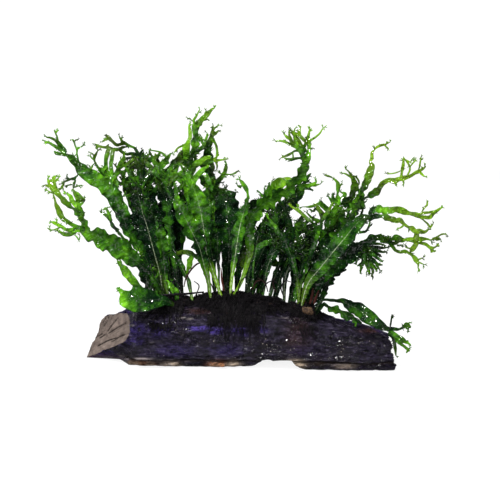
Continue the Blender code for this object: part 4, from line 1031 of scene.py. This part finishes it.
16 22 0.1 306,299,2 311,276,9 318,256,11 326,240,9 333,228,4

back_right_low 8 14 19 -25 0.12 0.3 0.2 7 0.007 1 0
302,299,2 300,280,8 303,258,14 308,240,13 / 0.4 306,243,5 305,221,1.4 / -0.3 308,242,5 313,218,1.4 / 0.15
310,243,5 320,225,1.4 + 8 9 10 0.14 304,300,2 306,280,5 309,262,7 312,248,6 313,236,3
"""
# lit fronds and fronds in painted shade take copies of one leaf finish, chosen by a lightness that holds
# painted light and shade
BRIGHT = 0.4  # the lightness from which a frond takes the bright finish
BLADE_SIDES, STRAND_SIDES, TWIG_SIDES, TWIG_ROWS = 22, 10, 6, 5
# in metres: from row to row of a blade, how far its tip draws in, how long the waves of its margins are,
# how far its side veins are apart, how long the lobes of its margins are
BLADE_STEP, TIP_LENGTH = 0.0009, 0.0035
LEFT_WAVES, RIGHT_WAVES = (0.0115, 0.0058), (0.0130, 0.0052)
VEIN_WAY, LEFT_LOBES, RIGHT_LOBES = 0.0062, 0.0105, 0.0092
# in metres too: a strand's thickness, how deep a stalk stands in the ground, how high its puckers are
STRAND_THICKNESS, FOOT_DEPTH, PUCKER_HEIGHT = 0.0006, 0.002, 0.0003
LEAST_BLADE, LEAST_STRAND = 1.9, 1.3  # narrowest widths in picture points
# along a blade: shares of the way from foot to tip, and the values there
THICKNESS = (0, 0.10, 0.3, 1), (0.0015, 0.0012, 0.0007, 0.00055)
# painted shade: the lightness falls towards the foot, where the fronds stand in shade
PAINTED_SHADE_TO_FOOT = (0, 0.25, 0.6, 0.85, 1), (0.35, 0.55, 0.80, 0.95, 1.05)
YELLOWNESS = (0, 0.85, 1), (0.0, 0.0, 0.08)
RIB = (0, 0.15, 0.7, 1), (1.0, 1.0, 0.8, 0.2)
PALENESS, PALE_TONE = ((0, 0.18, 0.38), (1, 0.8, 0)), (0.55, 0.85, 0.3)
WAVINESS = (0, 0.15, 0.35, 1), (0, 0.05, 0.40, 0.46)
# lace: how often its fingers split, their length and one in so many metres, and their width
TIP_LACE, STRAND_LACE, SHOOT_LACE = (1, 0.0026, 0.0021), (1, 0.0028, 0.0052), (2, 0.0060, 0.0030, 0.0014)
FINGER, HEAD_FINGER = 0.0012, 0.0016
# fingers: from least to most, how long and wide they are beside what is asked, how far they swing from the
# strand and from each other in radians, and how long a forked one is beside its parent
FINGER_LONG, FINGER_WIDE = (0.6, 1.15), (0.8, 1.15)
FIRST_SWING, FORK_SWING, FORK_LONG = (0.35, 0.95), (0.25, 0.7), (0.5, 0.85)


def ribbon(heap, line, width, thick, turn, tone, seed, around=STRAND_SIDES, ruffle=0, keel=0, puckers=0):
    """Adds a strap along a line of rows. Its profile is a flat oval, half a width to each side and half a
    thickness up and down; keel lifts the sides into a shallow V, and ruffle waves them up and down along
    the line, more towards the margin and out of step left and right; puckers are small ridges between the
    side veins."""
    tangent = unit(np.gradient(line, axis=0))
    flat = unit(np.cross(tangent, FORWARD))
    turn = np.broadcast_to(turn, len(line))[:, None]
    across = np.cos(turn) * flat + np.sin(turn) * np.cross(tangent, flat)
    normal = np.cross(tangent, across)
    angle = np.linspace(0, 2 * np.pi, around, endpoint=False)[None]
    v = np.cos(angle)
    s = (shares(line) * steps_of(line).sum())[:, None]
    half = width[:, None] / 2
    a, b, c, d = np.random.default_rng(seed).uniform(0, 2 * np.pi, 4)

    def swell(length, start):
        """A sine wave of this length along the strap."""
        return np.sin(2 * np.pi * s / length + start)

    left = swell(LEFT_WAVES[0], a) + 0.7 * swell(LEFT_WAVES[1], b)
    right = swell(RIGHT_WAVES[0], c) + 0.7 * swell(RIGHT_WAVES[1], d)
    lift = ruffle * half * np.abs(v) ** 2.2 * np.where(v < 0, left, right) + keel * half * np.abs(v) ** 1.4
    ridge = np.sin(2 * np.pi * (s - 0.8 * half * np.abs(v)) / VEIN_WAY)
    lift = lift + puckers * ridge * np.abs(v) * (1 - v**6) * 1.3
    lobe = 1 + 0.2 * ruffle * np.where(v < 0, swell(LEFT_LOBES, c), swell(RIGHT_LOBES, a))
    up = thick[:, None] / 2 * np.sin(angle) * (1 + 0.5 * bell(v, 0, 0.16)) - lift
    rings = line[:, None] + across[:, None] * (half * v * lobe)[..., None] + normal[:, None] * up[..., None]
    fields = np.zeros((*rings.shape[:2], 6))
    fields[..., 0], fields[..., 1], fields[..., 2] = v, s, half
    fields[..., 3:] = tone[:, None] if np.ndim(tone) > 1 else tone
    heap.sleeves(rings[None], fields[None])


def twigs(heap, base, way, up, length, width, tone, seed):
    """Adds many small fingers at once. Each is a bent line of five rows from its base along way, curling
    towards up, with a flat hexagonal profile that narrows to a point."""
    rng = np.random.default_rng(seed)
    t = np.linspace(0, 1, TWIG_ROWS)[None, :, None]
    bend = rng.uniform(-0.35, 0.35, (len(base), 1, 1))
    way, up = unit(way)[:, None], unit(up)[:, None]
    side = unit(np.cross(way, up))
    length, width = length[:, None, None], width[:, None, None]
    line = base[:, None] + way * length * t + side * bend * length * t**2 + up * 0.15 * length * t**2
    angle = (np.arange(TWIG_SIDES) * np.pi / 3)[None, None]
    shape = width / 2 * (0.75 + 0.6 * t - 1.1 * t**2)
    rings = line[:, :, None] + side[:, :, None] * (shape * np.cos(angle))[..., None]
    rings = rings + up[:, :, None] * (0.5 * shape * np.sin(angle))[..., None]
    fields = np.zeros((*rings.shape[:3], 6))
    fields[..., 3:] = tone[:, None, None]
    fields[..., 4] *= 0.4 + 0.6 * t
    heap.sleeves(rings, fields)


def forked(heap, points, widths, tone, seed, levels, length, every, finger=FINGER):
    """Adds a lace of small forks along a strand, one every so many metres, from its margins: at each level
    every finger splits into two, which turn 15 to 40 degrees to either side in the picture, differ in
    depth, and are about 0.7 as long."""
    rng = np.random.default_rng(seed)
    many = max(1, int(steps_of(points).sum() / every + 0.5))
    last = len(points) - 1
    at = rng.uniform(0.2, 1.0, many) * last
    base = spline(points, at)
    ahead = unit(spline(points, np.minimum(at + 0.2, last)) - spline(points, np.maximum(at - 0.2, 0)))
    wide = np.interp(at, np.arange(len(points)), widths)
    size = length * rng.uniform(*FINGER_LONG, many)
    hand = rng.choice((-1, 1), many)
    swing = hand * rng.uniform(*FIRST_SWING, many)
    side = unit(np.cross(ahead, FORWARD))
    base = base - side * (hand * wide * 0.3)[:, None]
    width = np.minimum(wide * 0.8, finger) * rng.uniform(*FINGER_WIDE, many)
    for level in range(levels + 1):
        c, n = np.cos(swing), np.sin(swing)
        x, z = ahead[:, 0] * c + ahead[:, 2] * n, ahead[:, 2] * c - ahead[:, 0] * n
        way = unit(np.stack([x, ahead[:, 1] + rng.uniform(-0.35, 0.35, len(c)), z], -1))
        up = np.tile(FORWARD, (len(way), 1)) + rng.normal(0, 0.4, way.shape)
        shade = np.tile(tone, (len(way), 1))
        shade[:, 0] += rng.uniform(-0.12, 0.12, len(way))
        shade[:, 1] *= (level + 1) / (levels + 1)
        twigs(heap, base, way, up, size, width, shade, seed + level)
        if level == levels:
            break
        base = np.repeat(base + way * (size * 0.55)[:, None], 2, axis=0)
        ahead = np.repeat(way, 2, axis=0)
        swing = np.tile((-1, 1), len(way)) * rng.uniform(*FORK_SWING, 2 * len(way))
        size = np.repeat(size, 2) * rng.uniform(*FORK_LONG, 2 * len(way))
        width = np.repeat(width, 2) * 0.85


def blade(heap, path, depths, turn, tone, seed, calm=1.0, pale=0.0):
    """Stalk and wavy blade along a traced line; returns its rows and their widths in metres. The depth runs
    from foot over middle to tip as a parabola; calm scales the waves, and pale makes the stalk yellow and
    lighter."""
    base, middle, tip = depths
    s = shares(path[:, :2])
    depth = base * (1 - s) ** 2 + 2 * (2 * middle - (base + tip) / 2) * s * (1 - s) + tip * s**2
    line = seen_at(path[:, 0], path[:, 1], depth)
    turn = math.radians(turn)
    widths = path[:, 2] / math.cos(turn)
    line[0, 2] = float(top_of(GROUND_TREE, line[0, 0], line[0, 1])) - FOOT_DEPTH
    length = steps_of(line).sum()
    rows = int(max(26, length / BLADE_STEP))
    smooth, width, _ = resampled(line, rows, np.maximum(widths, LEAST_BLADE))
    width = np.convolve(np.pad(width * PIXEL, 2, "edge"), np.array((1, 2, 3, 2, 1)) / 9, "valid")
    run = np.linspace(0, 1, rows)
    thick = np.minimum(np.interp(run, *THICKNESS), width)
    light, rib, yellow = tone
    # lightness: the frond's own green with its painted light and shade, and painted shade towards the foot
    shade = np.stack([
        light * np.interp(run, *PAINTED_SHADE_TO_FOOT) - 0.01,
        yellow * np.interp(run, *YELLOWNESS) + 0.12 * light * (run < 0.1),
        rib * np.interp(run, *RIB),
    ], -1)
    shade += (pale * np.interp(run, *PALENESS))[:, None] * PALE_TONE
    wave = np.interp(run, *WAVINESS)
    twist = turn + 0.35 * np.sin(run * 7 + seed) * np.interp(run, (0, 0.3), (0, 1))
    # the last rows draw in, so that the blade ends in its forks
    taper = np.interp(run, (0, 1 - TIP_LENGTH / length, 1), (1, 1, 0.55))
    puckers = PUCKER_HEIGHT * calm * np.interp(run, (0.1, 0.3), (0, 1))[:, None]
    ribbon(heap, smooth, width * taper, thick, twist, shade, seed, BLADE_SIDES, calm * wave[:, None],
           0.34 * calm, puckers)
    return smooth, width


def strand(heap, known, lean, trace, tone, seed):
    """A strand of the crest through traced points, a ribbon that narrows to its tip. It leaves the frond at
    the depth of the nearest known point, leans back from there by this share of its way, and turns yellow
    with the way from the blade. Known points are rows of px, py, depth in millimetres and way in picture
    points; so is what it returns."""
    near = known[np.argmin(np.linalg.norm(known[:, :2] - trace[0, :2], axis=1))]
    way = way_of(trace[:, :2])
    line = seen_at(trace[:, 0], trace[:, 1], near[2] + lean * way * PIXEL / MM)
    rows = int(max(8, way[-1] * 1.1))
    smooth, width, at = resampled(line, rows, np.maximum(trace[:, 2], LEAST_STRAND))
    width = width * PIXEL
    reach = near[3] + np.interp(at, np.arange(len(line)), way)
    shade = np.tile(tone, (rows, 1))
    shade[:, 0] += 0.16 * math.sin(3 * seed)
    shade[:, 1] *= np.clip((reach - 10) / 36, 0.02, 1)
    run = np.linspace(0, 1, rows)
    taper = np.interp(run, (0, 1 - 1.2 / rows, 1), (1, 1, 0.5))
    turn = 0.35 * math.sin(seed) + 0.45 * np.sin(5 * run + seed)
    thick = np.minimum(width * 0.6, STRAND_THICKNESS)
    ribbon(heap, smooth, width * taper, thick, turn, shade, seed, ruffle=0.4, keel=0.3)
    late = max(0, rows - 9)
    forked(heap, smooth[late:], width[late:], shade[-1], seed * 7, *TIP_LACE)
    if rows > 16:
        forked(heap, smooth[3:late], width[3:late], shade[rows // 2], seed * 5, *STRAND_LACE)
    return np.stack([*seen(smooth).T, smooth[:, 1] / MM, reach], -1)


def frond(index, text):
    """A frond: stalk and blade, strands of the crest, lace on the upper third, narrow leaves beside it."""
    name, text = text.split(maxsplit=1)
    text, _, beside = text.partition("+")
    (facts, path), *crest = lines_of(text)
    depths, turn, tone, (many, size, calm, pale) = facts[:3], facts[3], facts[4:7], facts[7:]
    seed = 100 + 17 * index
    heap = Heap()
    smooth, width = blade(heap, path, depths, turn, tone, seed, calm, pale)
    known = np.stack([*seen(smooth).T, smooth[:, 1] / MM, 0 * width], -1)
    # crest strands take the frond's lightness and with it its painted light and shade
    green = np.array((0.13 + 0.64 * tone[0], tone[2], 0.0))
    lace = green * (1, 0.3, 1)
    for n, ((lean,), trace) in enumerate(crest):
        known = np.concatenate([known, strand(heap, known, lean, trace, green, seed + 3 * n)])
    if many:
        head = smooth[-len(smooth) // 3 :]
        every = np.linalg.norm(head[-1] - head[0]) / many
        forked(heap, head, width[-len(head) :], lace, seed + 7, 2, size, every, HEAD_FINGER)
    for n, ((*depths, light), trace) in enumerate(lines_of(beside)):
        shoot, wide = blade(heap, trace, depths, 20 * math.sin(seed + n), (light, 0.4, 0.3), seed + 60 + n)
        half = len(shoot) // 2
        forked(heap, shoot[half:], wide[half:], lace, seed + 90 + n, *SHOOT_LACE)
    # lit fronds and fronds in painted shade take copies of one finish
    finish, slot = (LEAF_BRIGHT, "frond_bright") if tone[0] >= BRIGHT else (LEAF_DARK, "frond_dark")
    heap.piece("leaf_" + name, finish, "frond_" + name)


# Rhizomes and roots

FELT_RINGS, FELT_SPOKES = 22, 72
NEAR_SIDE, BEFORE = -0.019, -0.08  # y where hanging roots start, and of a place before the log, in metres
# half thickness of fine and of hanging roots in metres; their lightness, and how many share each
FINE_THICK, HANGING_THICK = (0.00022, 0.00045), (0.00022, 0.00055)
FINE_LIGHT, FINE_SHARES = (0.03, 0.09, 0.16, 0.32), (0.5, 0.3, 0.15, 0.05)
HANGING_LIGHT, HANGING_SHARES = (0.02, 0.07, 0.14, 0.26), (0.5, 0.27, 0.15, 0.08)
# sizes of the felt's lumps, and how far its edge reaches down into the wood, in metres
FELT_ROUGH, FELT_FINE, FELT_SKIRT = 0.004, 0.0016, 0.004
ROOT_LONG, ROOT_LIFT = (0.003, 0.010), (0.0003, 0.0022)  # of the fine roots, in metres
# scales and bare knobs of the rhizomes: depth in millimetres, lightness, redness, middle line
SCALES = {
    "left": """
-14 0.02 0 150,297,1.5 166,295,2.5 184,294,2.5 204,292,1.5 / -8 0.04 0 182,294,1 179,284,1.3 172,280,1 / -9
0.05 0.1 196,295,1 199,286,1.2 194,281,0.8""",
    "centre": """
-10 0.2 0.6 224,291,1.4 222,280,2 221,268,0.8 / -12 0.2 0.2 204,262,1 197,264,1.7 191,270,1.7 186,278,1.5
184,287,1 / -6 0.05 0.2 252,290,1.2 256,282,1.6 262,280,0.8 / -12 0.06 0.1 276,292,1.2 273,284,1.4
275,278,0.8 / -14 0.04 0 262,292,1.2 266,284,1.4 273,281,1.2 279,285,0.8 / -11 0.04 0 284,297,1.2
281,288,1.4 285,281,1.2 291,282,0.8 / -9 0.05 0 214,292,1 211,284,1.2 206,282,0.8 / -12 0.04 0 238,291,1
241,281,1.3 247,276,0.8 / -13 0.05 0.1 268,292,1 265,283,1.2 258,278,0.8""",
    "right": """
-24 0.44 0 302,308,2 304,309,6 306,311,6.5 309,310.5,8 311,312.5,6 313.5,313,3 / -12 0.1 0.4 310,304,2
312,296,3 313,288,1 / -13 0.08 0.4 314,304,2 316,297,2.6 319,290,0.8 / -10 0.3 0.5 305,303,1.6 304,295,2.4
306,288,0.8""",
}


def hairs(heap, line, facing, thick, light):
    """Adds a thin four-sided sleeve along each of many lines (lines x rows x 3); thick is half its
    thickness at each row."""
    tangent = unit(np.gradient(line, axis=1))
    side = unit(np.cross(tangent, facing))
    up = np.cross(side, tangent)
    turn = (np.arange(4) * np.pi / 2)[:, None]
    round_ = np.cos(turn) * side[:, :, None] + np.sin(turn) * up[:, :, None]
    rings = line[:, :, None] + thick[..., None, None] * round_
    fields = np.zeros((*rings.shape[:3], 6))
    fields[..., 3] = light[:, None, None]
    heap.sleeves(rings[:, :, ::-1], fields)


def roots(name, cx, cy, half_x, half_y, height, waves_along, seed, many, longest):
    """A cushion of root felt: rings of a mound over the wood, roughened; hundreds of fine roots that run
    over it; roots that hang down the near side as far as longest (mm); and the rhizome's bare scales."""
    rng = np.random.default_rng(seed)
    r = (np.linspace(1.06, 0.0, FELT_RINGS + 1)[:-1] ** 0.85)[:, None]
    angle = (2 * np.pi * np.arange(FELT_SPOKES) / FELT_SPOKES)[None]
    ragged = 1 + 0.10 * np.sin(3 * angle + cx) + 0.07 * np.sin(5 * angle) + 0.05 * np.sin(11 * angle + seed)
    x = (cx + half_x * r * ragged * np.cos(angle)) * MM
    y = (cy + half_y * r * ragged * np.sin(angle)) * MM
    crest = 0.85 + 0.25 * np.sin(waves_along * np.pi * (x / MM - cx) / half_x + 1)
    rise = (0.5 + height * crest * np.maximum(0, 1 - r**2) ** 0.6) * MM
    skin = np.stack([x, y, top_of(WOOD_TREE, x, y) + np.where(r > 1.0, -0.0015, rise)], -1)
    flat = skin.reshape(-1, 3)
    rough = (waves(flat, FELT_ROUGH, seed) * 0.6 + waves(flat, FELT_FINE, seed + 1) * 0.35).reshape(x.shape)
    skin[..., 2] += rough * MM * (r < 1.0)
    skin = np.concatenate([skin[:1] - (0, 0, FELT_SKIRT), skin])
    fields = np.zeros((1, *skin.shape[:2], 6))
    fields[..., 3] = 0.05
    heap = Heap()
    heap.sleeves(skin[None], fields)
    # fine roots
    spin, far = rng.uniform(0, 2 * np.pi, many), np.sqrt(rng.uniform(0.0, 1.1, many))
    start = np.stack([cx + half_x * far * np.cos(spin), cy + half_y * far * np.sin(spin)], -1) * MM
    way = np.stack([turned(spin) * 0.6 + rng.normal(0, 0.6, many) for turned in (np.cos, np.sin)], -1)
    way = unit(way) * rng.uniform(*ROOT_LONG, many)[:, None]
    t = np.linspace(0, 1, 6)
    px = start[:, :1] + way[:, :1] * t + 0.0012 * np.sin(9 * t + spin[:, None])
    py = start[:, 1:] + way[:, 1:] * t + 0.0012 * np.cos(7 * t + spin[:, None])
    lift = rng.uniform(*ROOT_LIFT, many)[:, None] * np.sin(np.pi * np.clip(t + 0.1, 0, 1)) + 0.0002
    line = np.stack([px, py, top_of(GROUND_TREE, px, py) + lift], -1)
    hairs(heap, line, (0.0, 0.0, 1.0), rng.uniform(*FINE_THICK, many)[:, None] * (1 - 0.7 * t),
          rng.choice(FINE_LIGHT, many, p=FINE_SHARES))
    hanging(heap, cx - half_x * 0.75, cx + half_x * 0.5, many // 9, longest, seed + 9)
    for n, ((depth, light, red), rows) in enumerate(lines_of(SCALES[name])):
        px, py, wide = spline(rows, np.linspace(0, len(rows) - 1, 14)).T
        wide = np.maximum(wide, 0.6) * PIXEL
        tone = np.array((light, red, 0.0))
        ribbon(heap, seen_at(px, py, depth), wide, wide * 0.7, 0.2, tone, seed + n, ruffle=0.15)
    heap.piece("felt_" + name, ROOT, "rhizome_" + name)


def hanging(heap, low_x, high_x, many, longest, seed):
    """Adds roots that hang over the near edge of the log: lines that start on its near shoulder, wander
    down its near side and lie on it. Places in millimetres along the log."""
    rng = np.random.default_rng(seed)
    t = np.linspace(0, 1, 9)[None]
    x = rng.uniform(low_x, high_x, many)[:, None] + rng.normal(0, 2.6, (many, 1)) * t
    sway, pace = rng.uniform(0.3, 1.4, (many, 1)), rng.uniform(4, 9, (many, 1))
    x = x + sway * np.sin(pace * t + rng.uniform(0, 6, (many, 1)))
    top = top_of(WOOD_TREE, x * MM, 0 * x + NEAR_SIDE) / MM + 0.5
    z = top - rng.uniform(0.3, 1.0, (many, 1)) * longest * t
    hits = [WOOD_TREE.ray_cast(Vector((a * MM, BEFORE, b * MM)), Vector((0, 1, 0)))[0]
            for a, b in zip(x.ravel(), z.ravel())]
    y = np.array([NEAR_SIDE if hit is None else hit.y for hit in hits]).reshape(x.shape)
    off = rng.uniform(0.0002, 0.0011, (many, 1)) * (0.4 + np.sin(np.pi * t) ** 2)
    hairs(heap, np.stack([x * MM, y - off, z * MM], -1), FORWARD,
          rng.uniform(*HANGING_THICK, (many, 1)) * (1 - 0.75 * t),
          rng.choice(HANGING_LIGHT, many, p=HANGING_SHARES))


camera()
floor()
studio()
for row in LAMPS:
    lamp(*row)
driftwood()
# name; middle, half lengths and height in mm; waves along; seed; how many fine roots; longest hanging root
roots("left", -47, -2, 15.5, 14.0, 3.6, 2.0, 31, 300, 8.0)
roots("centre", 0, -3, 29.0, 14.5, 4.6, 5.0, 32, 900, 16.0)
roots("right", 42, -5, 10.5, 13.0, 3.8, 1.5, 33, 300, 11.0)
for index, text in enumerate(FRONDS.strip().split("\n\n")):
    frond(index, text)
